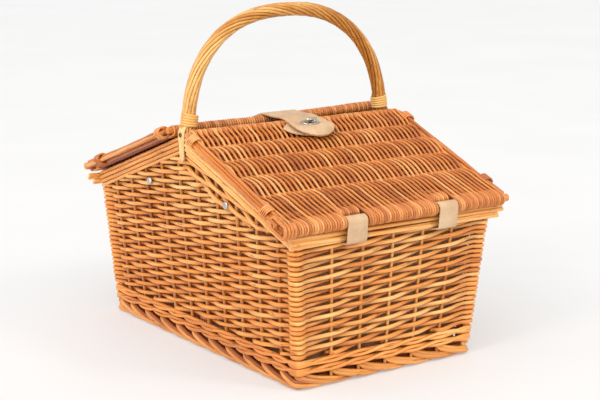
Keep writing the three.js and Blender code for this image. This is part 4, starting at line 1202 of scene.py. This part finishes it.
# %% Leather
def hide(name, dark, middle, light):
    """Beige hide, pebbled and a little cloudy."""
    material, tree, shader = finish_named(name)
    place = object_place(tree)
    cloud = noise(tree, place, 38.0, 4.0)
    crease = noise(tree, place, 260.0, 3.0)
    cells = add(tree, "ShaderNodeTexVoronoi", {"Vector": place, "Scale": 900.0}, feature="DISTANCE_TO_EDGE")
    pebble = calc(tree, "MINIMUM", cells.outputs["Distance"], 0.12)
    mixed = calc(tree, "MULTIPLY_ADD", crease, 0.35, cloud)
    colour = ramp(tree, mixed, (0.38, dark), (0.66, middle), (0.92, light))
    tree.links.new(colour, shader.inputs["Base Color"])
    vary(tree, shader, "Roughness", crease, 0.46, 0.68)
    fine_bump(tree, shader, calc(tree, "MULTIPLY_ADD", pebble, 3.0, crease), 0.35, 0.0003)
    return material


leather = hide("leather", srgb(188, 151, 112), srgb(207, 171, 132), srgb(219, 187, 150))
print("hide finish", leather.name, "of", len(leather.node_tree.nodes), "nodes")


# %% Hinge tabs
def hull(circles):
    """The tight line round a few circles in a plane, at even steps."""
    angle = np.linspace(0, 2 * math.pi, 73)[:-1]
    cloud = np.vstack([np.column_stack([y + r * np.cos(angle), z + r * np.sin(angle)])
                       for y, z, r in circles])
    cloud = cloud[np.lexsort((cloud[:, 1], cloud[:, 0]))]

    def half(rows):
        kept = []
        for p in rows:
            while len(kept) > 1 and np.cross(kept[-1] - kept[-2], p - kept[-1]) <= 0:
                kept.pop()
            kept.append(p)
        return kept[:-1]

    loop = half(list(cloud)) + half(list(cloud[::-1]))
    closed = np.array(loop + loop[:1])
    steps = np.append(0, np.cumsum(np.linalg.norm(np.diff(closed, axis=0), axis=1)))
    even = np.linspace(0, steps[-1], 65)[:-1]
    return np.column_stack([np.interp(even, steps, closed[:, k]) for k in (0, 1)])


def unit(vectors):
    """Directions of vectors."""
    return vectors / np.linalg.norm(vectors, axis=1)[:, None]


TAB_WIDTH, TAB_THICKNESS = 30.0, 2.2
TAB_GOES_ROUND = [(238.0, 207.0, 6.8), (231.2, 193.2, 5.6), (231.2, 185.4, 5.6), (238.0, 186.0, 5.2)]
tabs = []
tab_y, tab_z = hull(TAB_GOES_ROUND).T
ahead_y, ahead_z = unit(np.column_stack([np.roll(v, -1) - np.roll(v, 1) for v in (tab_y, tab_z)])).T
for sy in (-1, 1):
    for x in (-LOOP_X, LOOP_X):
        normal = line_of(0.0, sy * ahead_z, -ahead_y)
        tabs.append(ribbon(line_of(x, sy * tab_y, tab_z), (1, 0, 0), normal, TAB_WIDTH, TAB_THICKNESS,
                           closed=True))
settle(shaped("hinge_tabs", tabs, leather), "basket", every("hinge_loop_%s_%s", ENDS, HANDS))

# %% Strap
STRAP_WIDTH, STRAP_THICKNESS, STRAP_END, STRAP_TIP = 52.0, 3.0, 62.0, 79.0
STRAP_LEVEL, STRAP_SAG, STRAP_EDGE = 295.9, 0.7, 0.3
TONGUE_SLOPE = math.radians(11.6)
DROOP_FROM, DROOP = 52.0, 0.0075
TIP_ROUND, TIP_FLARE, FLARE_FROM, FLARE_OVER = 22.0, 7.0, 28, 26
TIP_STEPS, TIP_FINE = 12, 6


def strap_under(y):
    """Height of the strap's underside: along the back lid, over the ridge, then out in a lifted tongue."""
    if y > RIDGE_Y:
        return STRAP_LEVEL + roof(y, 0) - roof(RIDGE_Y, 0)
    if y < -RIDGE_Y:
        droop = max(0.0, -y - DROOP_FROM) ** 2 * DROOP
        return STRAP_LEVEL - (-y - RIDGE_Y) * math.tan(TONGUE_SLOPE) - droop
    return STRAP_LEVEL - STRAP_SAG * math.cos(math.pi / 2 * y / RIDGE_Y)


last_steps = TIP_FINE * (1 - np.linspace(0.1, 1, TIP_STEPS)) ** 2
strap_y = np.concatenate([np.linspace(STRAP_END, TIP_FINE - STRAP_TIP, 64), last_steps - STRAP_TIP])
strap_z = np.array([np.mean([strap_under(y + d) for d in np.linspace(-4, 4, 9)]) for y in strap_y])
strap_line = line_of(0.0, strap_y, strap_z + STRAP_THICKNESS / 2)
ahead = unit(np.gradient(strap_line, axis=0))
strap_normal = line_of(0.0, ahead[:, 2], -ahead[:, 1])
from_tip = np.clip(strap_y + STRAP_TIP, 0.02, TIP_ROUND)
flare = TIP_FLARE * np.clip((-strap_y - FLARE_FROM) / FLARE_OVER, 0, 1)
strap_width = (STRAP_WIDTH + flare) * np.sqrt(1 - (1 - from_tip / TIP_ROUND) ** 2)
strap_shape = ribbon(strap_line, (1, 0, 0), strap_normal, strap_width, STRAP_THICKNESS, soft=STRAP_EDGE)
strap = shaped("closure_strap_leather", [strap_shape], leather)
print("strap", len(strap.data.polygons), "faces, tip at", round(strap_z[-1], 1))


# %% Slot in the strap
def stadium(length, width, count=28):
    """Points round a slot with round ends, long along the first axis."""
    angle = np.linspace(0, 2 * math.pi, count, endpoint=False) + math.pi / count
    ends = np.sign(np.cos(angle)) * (length - width) / 2
    return np.column_stack([np.cos(angle) * width / 2 + ends, np.sin(angle) * width / 2])


def cut_slot(piece, length, width, y):
    """A straight slot through a flat piece, kept as a plain mesh."""
    rim = stadium(length, width)
    count = len(rim)
    points = [(x, y + v, z) for z in PUNCH_SPAN for x, v in rim]
    faces = [tuple(range(count))[::-1], tuple(range(count, 2 * count))]
    faces += [(k, (k + 1) % count, count + (k + 1) % count, count + k) for k in range(count)]
    punch = shaped("slot_punch", [(points, faces)], leather)
    cut = piece.modifiers.new("slot", "BOOLEAN")
    cut.operation = "DIFFERENCE"
    cut.object = punch
    cut.solver = "EXACT"
    result = plain_copy(piece)
    piece.modifiers.remove(cut)
    piece.data = result
    bpy.data.objects.remove(punch)


SLOT_LENGTH, SLOT_WIDTH, PUNCH_SPAN = 20.0, 10.5, (250.0, 320.0)
low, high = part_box("strap_eyelet")
CLASP_Y = (low[1] + high[1]) / 2 / MM
cut_slot(strap, SLOT_LENGTH, SLOT_WIDTH, CLASP_Y)
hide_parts("strap_tail", "closure_strap")
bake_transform(strap)
print("slot", SLOT_LENGTH, "by", SLOT_WIDTH, "mm at y", round(CLASP_Y, 1))

# %% Patch under the turn-lock
PATCH_EARS, PATCH_DEPTH, PATCH_HALF, PATCH_TOP = LID_RUN - 19, 24.0, 39.0, LID_RUN - 9
PATCH_LIFT, PATCH_THICKNESS = 8.0, 2.0
patch_s = np.concatenate([PATCH_EARS - PATCH_DEPTH * np.cos(np.linspace(0.06, math.pi / 2, 26)),
                          np.linspace(PATCH_EARS + 0.6, PATCH_TOP, 10)])
drop = np.clip((PATCH_EARS - patch_s) / PATCH_DEPTH, 0, 1)
patch_width = np.where(patch_s < PATCH_EARS, 2 * PATCH_HALF * np.sqrt(1 - drop ** 2),
                       2 * np.interp(patch_s, [PATCH_EARS, PATCH_TOP], [PATCH_HALF, STRAP_WIDTH / 2]))
patch_line = on_lid("front", 0.0, patch_s, PATCH_LIFT)
patch_up = on_lid("front", 0.0, patch_s, PATCH_LIFT + 1) - patch_line
patch_shape = ribbon(patch_line, (1, 0, 0), patch_up, patch_width, PATCH_THICKNESS, soft=STRAP_EDGE)
patch = shaped("clasp_patch_leather", [patch_shape], leather)
settle(patch, "front_lid", ["clasp_patch"])

# %% [markdown]
# The turn-lock and the rivets are nickel. Real nickel plate is bright but never a mirror: handling leaves
# soft smears, so noise changes its roughness. The rivets repeat, so a small tree sets a flattened dome on
# every point it is given and turns it to face outwards.

# %% Metal
def metal(name, dark, light, low, high):
    """Plated metal with smears that make it rougher in places."""
    material, tree, shader = finish_named(name)
    smear = noise(tree, object_place(tree), 320.0, 3.0)
    tree.links.new(ramp(tree, smear, (0.3, dark), (0.7, light)), shader.inputs["Base Color"])
    shader.inputs["Metallic"].default_value = 1.0
    vary(tree, shader, "Roughness", smear, low, high)
    fine_bump(tree, shader, smear, 0.15, 0.0002)
    return material


nickel = metal("nickel", srgb(176, 174, 168), srgb(226, 224, 218), 0.16, 0.34)
bronze = metal("bronze", srgb(86, 50, 24), srgb(150, 98, 52), 0.3, 0.5)
print("metal finishes", nickel.name, bronze.name)


# %% The tree that makes rivet heads
def rivets_tree():
    """Points in, rivet heads out."""
    tree, size = new_tree("rivet heads", [("Head Radius", "Float", 0.0045), ("Head Height", "Float", 0.002),
                                          ("Material", "Material", None)])
    face = on_points(tree, "face", "FLOAT_VECTOR")
    turned = add(tree, "FunctionNodeAlignRotationToVector", {"Vector": face}, axis="Z")
    ball = add(tree, "GeometryNodeMeshUVSphere", {"Segments": 24, "Rings": 12, "Radius": 1.0})
    shape = add(tree, "ShaderNodeCombineXYZ",
                {"X": size["Head Radius"], "Y": size["Head Radius"], "Z": size["Head Height"]})
    dome = add(tree, "GeometryNodeTransform", {"Geometry": ball, "Scale": shape})
    set_in = add(tree, "GeometryNodeInstanceOnPoints",
                 {"Points": size["Geometry"], "Instance": dome, "Rotation": turned})
    real = add(tree, "GeometryNodeRealizeInstances", {"Geometry": set_in})
    smooth = add(tree, "GeometryNodeSetShadeSmooth", {"Geometry": real})
    return end_tree(tree, smooth, size["Material"])


RIVETS = rivets_tree()
print(RIVETS.name, "takes", [i.name for i in RIVETS.interface.items_tree if i.in_out == "INPUT"])


# %% Rivets and nails
def rivet_heads(name, places, radius, height, material):
    """Rivet heads at points, facing their directions."""
    mesh = bpy.data.meshes.new(name + "_points")
    mesh.from_pydata([tuple(np.asarray(p) * MM) for p, _ in places], [], [])
    faces = np.array([f for _, f in places], np.float32)
    mesh.attributes.new("face", "FLOAT_VECTOR", "POINT").data.foreach_set("vector", faces.ravel())
    sizes = {"Head Radius": radius * MM, "Head Height": height * MM, "Material": material}
    return grow(name, mesh, RIVETS, sizes)


STUD_Y, STUD_Z, STUD_INSIDE, STUD_RADIUS, STUD_HEIGHT = 91.0, 210.0, 141.6, 5.4, 2.6
gable_heads = []
for sx, y in itertools.product((-1, 1), (-STUD_Y, STUD_Y)):
    gable_heads.append(((sx * (wall_x(STUD_Z) + 0.2), y, STUD_Z), (sx, 0, 0)))
    gable_heads.append(((sx * STUD_INSIDE, y, STUD_Z), (-sx, 0, 0)))
settle(rivet_heads("liner_rivet_heads", gable_heads, STUD_RADIUS, STUD_HEIGHT, nickel), "basket",
       every("liner_rivet_%s_%s", HANDS, ENDS))

NAIL_X, NAIL_Z, NAIL_RADIUS, NAIL_HEIGHT = 167.0, 285.0, 3.0, 1.7
nails = [((sx * NAIL_X, 0, NAIL_Z), (sx, 0, 0)) for sx in (-1, 1)]
settle(rivet_heads("handle_nail_heads", nails, NAIL_RADIUS, NAIL_HEIGHT, bronze), "basket",
       every("handle_nail_%s", HANDS))

STRAP_RIVET_RUN = (HINGE_Y - STRAP_END) / math.cos(SLOPE) + 12
STRAP_RIVET_LIFT, STRAP_RIVET_RADIUS, STRAP_RIVET_HEIGHT = 10.9, 4.5, 2.0
strap_head = on_lid("back", 0.0, STRAP_RIVET_RUN, STRAP_RIVET_LIFT)
strap_out = on_lid("back", 0, STRAP_RIVET_RUN, STRAP_RIVET_LIFT + 1) - strap_head
strap_rivet = rivet_heads("strap_rivet_head", [(strap_head, strap_out)], STRAP_RIVET_RADIUS,
                          STRAP_RIVET_HEIGHT, nickel)
settle(strap_rivet, "back_lid", ["strap_rivet"])

# %% Eyelet
EYELET_LENGTH, EYELET_WIDTH, EYELET_LIFT, EYELET_WIRE = 23.2, 13.7, 0.45, 1.75


def slanted(slope):
    """The way up a slope and the way out of it."""
    rise, run = math.sin(slope), math.cos(slope)
    return np.array([0.0, run, rise]), np.array([0.0, -rise, run])


tongue_along, tongue_up = slanted(TONGUE_SLOPE)
slot_centre = np.array([0.0, CLASP_Y, strap_under(CLASP_Y) + STRAP_THICKNESS])
rim = stadium(EYELET_LENGTH, EYELET_WIDTH, 48)
eyelet_line = slot_centre + np.outer(rim[:, 0], (1, 0, 0)) + np.outer(rim[:, 1], tongue_along)
eyelet_path = path(eyelet_line + EYELET_LIFT * tongue_up, EYELET_WIRE, 0.5, face=tongue_up, closed=True)
eyelet = grow("strap_eyelet_ring", lines_mesh("strap_eyelet_ring", [eyelet_path]), RODS,
              {"Material": nickel, "Flatness": 0.6, "Sides": 12})
settle(eyelet, "closure_flap", ["strap_eyelet"])

# %% Knob and plate
KNOB_HALF, KNOB_WIDTH, KNOB_THICKNESS, KNOB_WAIST = 8.5, 5.0, 3.6, 0.14
low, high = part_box("clasp_knob")
knob_middle = (np.array(low) + np.array(high)) / 2 / MM
lid_along, lid_up = slanted(SLOPE)
bar = np.sin(np.linspace(-math.pi / 2, math.pi / 2, 25)) * KNOB_HALF
rounded = np.sqrt(np.clip(1 - (bar / (KNOB_HALF + 0.05)) ** 6, 0.02, 1))
waisted = 1 - KNOB_WAIST + KNOB_WAIST * np.cos(bar / KNOB_HALF * math.pi)
knob_line = knob_middle + np.outer(bar, (1, 0, 0))
knob_shape = ribbon(knob_line, lid_along, lid_up, KNOB_WIDTH * rounded * waisted, KNOB_THICKNESS)
knob = shaped("clasp_turn_bar", [knob_shape], nickel)
settle(knob, "clasp_knob", ["clasp_knob"])
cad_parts["clasp_plate"].material_slots[0].material = nickel
print("knob middle", [round(v, 1) for v in knob_middle])

# %% [markdown]
# A grey cotton lining hangs inside the basket and another is stretched under each lid. Cloth is a sheet, so
# it starts as one surface with a little slack and is given a thickness afterwards. Its weave is drawn on its
# own UV map, in metres of cloth, so the threads follow the cloth round the corners. Its outer side is painted
# with a warmer, darker tint that stands in for the shade and the light bounced from the willow it lies
# against, and a point attribute "outer" says which side that is.

# %% Cloth finish
# Tints of painted bounce light and shade for the cloth's outer side.
PAINTED_BOUNCE_TINT, PAINTED_BOUNCE_DEEP_TINT = (1.2, 0.72, 0.36, 1), (1.25, 0.45, 0.12, 1)
GREYS = srgb(118, 110, 105), srgb(166, 157, 150)


def cotton(name, dark, light, on_uv=True):
    """Plain weave, drawn on the cloth's own UV map, or on Object coordinates for a narrow hem."""
    material, tree, shader = finish_named(name)
    cloth = add(tree, "ShaderNodeUVMap", uv_map="cloth").outputs["UV"] if on_uv else object_place(tree)
    waves = {"Vector": cloth, "Scale": 260.0, "Distortion": 0.6}
    warp, weft = (add(tree, "ShaderNodeTexWave", waves, bands_direction=way).outputs["Fac"] for way in "XY")
    threads = calc(tree, "MULTIPLY", warp, weft)
    mixed = calc(tree, "MULTIPLY_ADD", threads, 0.5, noise(tree, cloth, 240.0, 3.0))
    # Painted bounce light and shade on the outer side.
    painted_bounce = ramp(tree, reading(tree, "outer"), (0.0, WHITE), (0.6, PAINTED_BOUNCE_TINT), (1.0, PAINTED_BOUNCE_DEEP_TINT))
    colour = tinted(tree, ramp(tree, mixed, (0.35, dark), (0.95, light)), painted_bounce)
    tree.links.new(colour, shader.inputs["Base Color"])
    vary(tree, shader, "Roughness", threads, 0.78, 0.95)
    shader.inputs["Sheen Weight"].default_value = 0.25
    fine_bump(tree, shader, threads, 0.5, 0.0004)
    return material


lining_cloth = cotton("lining_cloth", *GREYS)
hem_cloth = cotton("hem_cloth", *GREYS, on_uv=False)
print("cloth finishes", lining_cloth.name, hem_cloth.name)

# %% A sheet with a thickness
END_WALL_PAINTED_BOUNCE = 0.6


def cloth_sheet(name, points, uvs, faces, thickness, outward):
    """A sheet with a thickness, its outer side marked for the painted bounce light and shade, and its flat
    area in square metres.
    """
    mesh = bpy.data.meshes.new(name + "_flat")
    mesh.from_pydata([tuple(np.asarray(p) * MM) for p in points], [], faces)
    layer = mesh.uv_layers.new(name="cloth")
    for loop in mesh.loops:
        layer.data[loop.index].uv = uvs[loop.vertex_index]
    mesh.shade_smooth()
    mesh.materials.append(lining_cloth)
    area = sum(p.area for p in mesh.polygons)
    flat = placed(name + "_flat", mesh)
    thicken = flat.modifiers.new("thickness", "SOLIDIFY")
    thicken.thickness = thickness * MM
    thicken.offset = 0.0
    plain = plain_copy(flat)
    bpy.data.objects.remove(flat)
    plain.name = name
    # Outer points take the painted bounce tint, less of it at the end walls.
    outer = plain.attributes.new("outer", "FLOAT", "POINT")
    for vertex in plain.vertices:
        strength = END_WALL_PAINTED_BOUNCE if abs(vertex.normal.y) > 0.9 else 1.0
        outer.data[vertex.index].value = strength * (vertex.normal.dot(Vector(outward(vertex.co))) > 0)
    return placed(name, plain), area


print("a sheet's outer side has its full tinge, and", END_WALL_PAINTED_BOUNCE, "of it at the end walls")

# %% One turn of the basket lining
LINER_FLOOR, LINER_TOP_OFFSET, PEAK = 15.2, -29.0, 268.0
FLOOR_HALF_X, FLOOR_HALF_Y, PEAK_HALF_X, PEAK_HALF_Y = 122.0, 200.5, 147.0, 218.0
CLOTH_X, CLOTH_Y, FOLD = 24, 34, 1.6


def liner_half(z, low, high):
    """Half the lining's width at a height."""
    return low + (high - low) * (z - LINER_FLOOR) / (PEAK - LINER_FLOOR)


def liner_ring(z_share):
    """One turn of the lining at a share of its height, with soft slack folds."""
    rows = []
    for sx, sy, along in ((0, -1, 1), (1, 0, 1), (0, 1, -1), (-1, 0, -1)):
        count = CLOTH_Y if sx else CLOTH_X
        for k in range(count):
            u = along * (-1 + 2 * k / count)
            y_share = sy if sy else u
            guess = LINER_FLOOR + z_share * (roof(y_share * 200, LINER_TOP_OFFSET) - LINER_FLOOR)
            half_x = liner_half(guess, FLOOR_HALF_X, PEAK_HALF_X)
            half_y = liner_half(guess, FLOOR_HALF_Y, PEAK_HALF_Y)
            fold = FOLD * z_share * (1 - 0.4 * z_share) * (1 + math.sin(u * 9 + 2.1 * sx + 5 * z_share)) / 2
            x = (half_x - fold) * sx if sx else u * half_x
            y = (half_y - fold) * sy if sy else u * half_y
            z = LINER_FLOOR + z_share * (roof(y, LINER_TOP_OFFSET) - LINER_FLOOR)
            rows.append((x, y, z))
    return rows


print("a turn of the lining has", len(liner_ring(0.0)), "points")

# %% Walls of the basket lining
CLOTH_LEVELS = 17
liner_points, liner_uvs, liner_faces = [], [], []
around_count = 2 * (CLOTH_X + CLOTH_Y)
for share in np.linspace(0, 1, CLOTH_LEVELS):
    line = liner_ring(share)
    travel = np.append(0, np.cumsum([math.dist(a, b) for a, b in zip(line, line[1:])]))
    liner_points += line
    liner_uvs += [(t * MM, p[2] * MM) for t, p in zip(travel, line)]
for row in range(CLOTH_LEVELS - 1):
    for k in range(around_count):
        a, b = row * around_count + k, row * around_count + (k + 1) % around_count
        liner_faces.append((a, b, b + around_count, a + around_count))
print("faces in the walls of the lining", len(liner_faces))

# %% Floor of the basket lining
grid = {}
for j, i in itertools.product(range(1, CLOTH_Y), range(1, CLOTH_X)):
    x, y = FLOOR_HALF_X * (2 * i / CLOTH_X - 1), FLOOR_HALF_Y * (2 * j / CLOTH_Y - 1)
    grid[i, j] = len(liner_points)
    liner_points.append((x, y, LINER_FLOOR + 0.5 * math.sin(x / 31) * math.sin(y / 37)))
    liner_uvs.append((x * MM, y * MM))
for i in range(CLOTH_X):
    grid[i, 0] = i
    grid[CLOTH_X - i, CLOTH_Y] = CLOTH_X + CLOTH_Y + i
for j in range(CLOTH_Y):
    grid[CLOTH_X, j] = CLOTH_X + j
    grid[0, CLOTH_Y - j] = 2 * CLOTH_X + CLOTH_Y + j
for j, i in itertools.product(range(CLOTH_Y), range(CLOTH_X)):
    liner_faces.append((grid[i, j], grid[i, j + 1], grid[i + 1, j + 1], grid[i + 1, j]))
print("faces with its floor", len(liner_faces))

# %% Basket lining as a sheet
LINER_THICKNESS, HEM_RADIUS = 0.9, 1.4
liner, liner_area = cloth_sheet("basket_lining", liner_points, liner_uvs, liner_faces, LINER_THICKNESS,
                                lambda place: (place.x, place.y, min(0.0, place.z - 0.03)))
settle(liner, "basket", ["liner"])
hem_path = path(liner_ring(1.0), HEM_RADIUS, 0.5, closed=True)
hem = rods("basket_lining_hem", [hem_path], hem_cloth, "basket", "lining_cloth", Sides=6)

# %% Linings under the lids
LID_CLOTH_HALF, LID_CLOTH_SPAN, LID_CLOTH_LEVEL, LID_CLOTH_THICKNESS = 142.5, (18.5, 217.5), -9.5, 0.8
ROWS, COLUMNS, SLACK = 24, 32, 0.5
for end in ENDS:
    points, uvs, faces = [], [], []
    for row, sv in enumerate(np.linspace(*LID_CLOTH_SPAN, ROWS)):
        for column, xv in enumerate(np.linspace(-LID_CLOTH_HALF, LID_CLOTH_HALF, COLUMNS)):
            held = math.sin(math.pi * row / (ROWS - 1)) * math.sin(math.pi * column / (COLUMNS - 1))
            points.append(on_lid(end, xv, sv, LID_CLOTH_LEVEL - SLACK * held * (1 + math.sin(xv / 23))))
            uvs.append((xv * MM, sv * MM))
    for row, column in itertools.product(range(ROWS - 1), range(COLUMNS - 1)):
        a = row * COLUMNS + column
        faces.append((a, a + 1, a + COLUMNS + 1, a + COLUMNS))
    sheet, sheet_area = cloth_sheet(end + "_lid_cloth", points, uvs, faces, LID_CLOTH_THICKNESS,
                                    lambda place: (0, 0, 1))
    settle(sheet, end + "_lid", [end + "_lid_lining"])
    print(end, "lining area", round(sheet_area, 4))

# %% [markdown]
# The picture was taken on a white sweep under wide soft lamps: the floor and the background are one pale
# tone, the shadow is faint and close to the foot. A lit sweep is copied by a large floor that glows a little
# itself, so a shadow takes only part of its light. The sky is brightest over the camera's left shoulder.
# Two distant lamps give the rods their small highlights: a yellowish one before the end wall and a pinker
# one before the gable, because those two walls differ in tone in just that way.

# %% Floor
SWEEP_GLOW, FLOOR_HALF = 0.34, 14
floor_mesh = bpy.data.meshes.new("studio_floor")
floor_corners = [(x * FLOOR_HALF, y * FLOOR_HALF, 0) for x, y in ((-1, -1), (1, -1), (1, 1), (-1, 1))]
floor_mesh.from_pydata(floor_corners, [], [(0, 1, 2, 3)])
floor = placed("studio_floor", floor_mesh)
sweep, tree, shader = finish_named("studio_sweep")
paper = noise(tree, object_place(tree), 3.0, 2.0)
tree.links.new(ramp(tree, paper, (0.3, (0.49, 0.49, 0.49, 1)), (0.7, (0.51, 0.51, 0.51, 1))),
               shader.inputs["Base Color"])
shader.inputs["Roughness"].default_value = 0.9
shader.inputs["Emission Color"].default_value = WHITE
shader.inputs["Emission Strength"].default_value = SWEEP_GLOW
floor_mesh.materials.append(sweep)
floor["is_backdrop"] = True
print("floor", 2 * FLOOR_HALF, "m wide")

# %% Sky
SKY_LEVEL, SKY_LOBE, SKY_FALL = 0.70, 1.3, 3.0
KEY_FROM = Vector((-0.56, -0.46, 0.72)).normalized()
world = bpy.data.worlds.new("studio_sky")
world.use_nodes = True
sky = world.node_tree
towards = add(sky, "ShaderNodeTexCoord").outputs["Generated"]
lobe = vector_calc(sky, "DOT_PRODUCT", towards, KEY_FROM).outputs["Value"]
soft = calc(sky, "POWER", calc(sky, "MAXIMUM", lobe, 0.0), SKY_FALL)
brightness = calc(sky, "MULTIPLY_ADD", soft, SKY_LOBE, SKY_LEVEL)
sky.nodes["Background"].inputs["Color"].default_value = WHITE
sky.links.new(brightness.outputs["Value"], sky.nodes["Background"].inputs["Strength"])
bpy.context.scene.world = world
print("the sky is brightest towards", [round(v, 2) for v in KEY_FROM])

# %% Lamps
LOOK_AT = Vector((0, 0, 0.15))


def lamp(name, place, size, power, colour):
    """A round soft lamp turned towards the basket."""
    light = bpy.data.lights.new(name, "AREA")
    light.shape = "DISK"
    light.size = size
    light.energy = power
    light.color = colour
    holder = placed(name, light)
    holder.location = place
    holder.rotation_euler = (LOOK_AT - Vector(place)).to_track_quat("-Z", "Y").to_euler()


lamp("key_lamp", (2.2, -4.6, 4.6), 1.4, 75, (1.0, 0.95, 0.78))
lamp("side_lamp", (-4.6, -1.2, 3.2), 1.6, 70, (1.0, 0.93, 0.88))
bpy.context.scene.view_settings.view_transform = "Standard"

# %% Sizes and finish
seen_box = [list(corner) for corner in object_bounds()]
print("visual box in mm", [[round(v / MM, 1) for v in corner] for corner in seen_box])
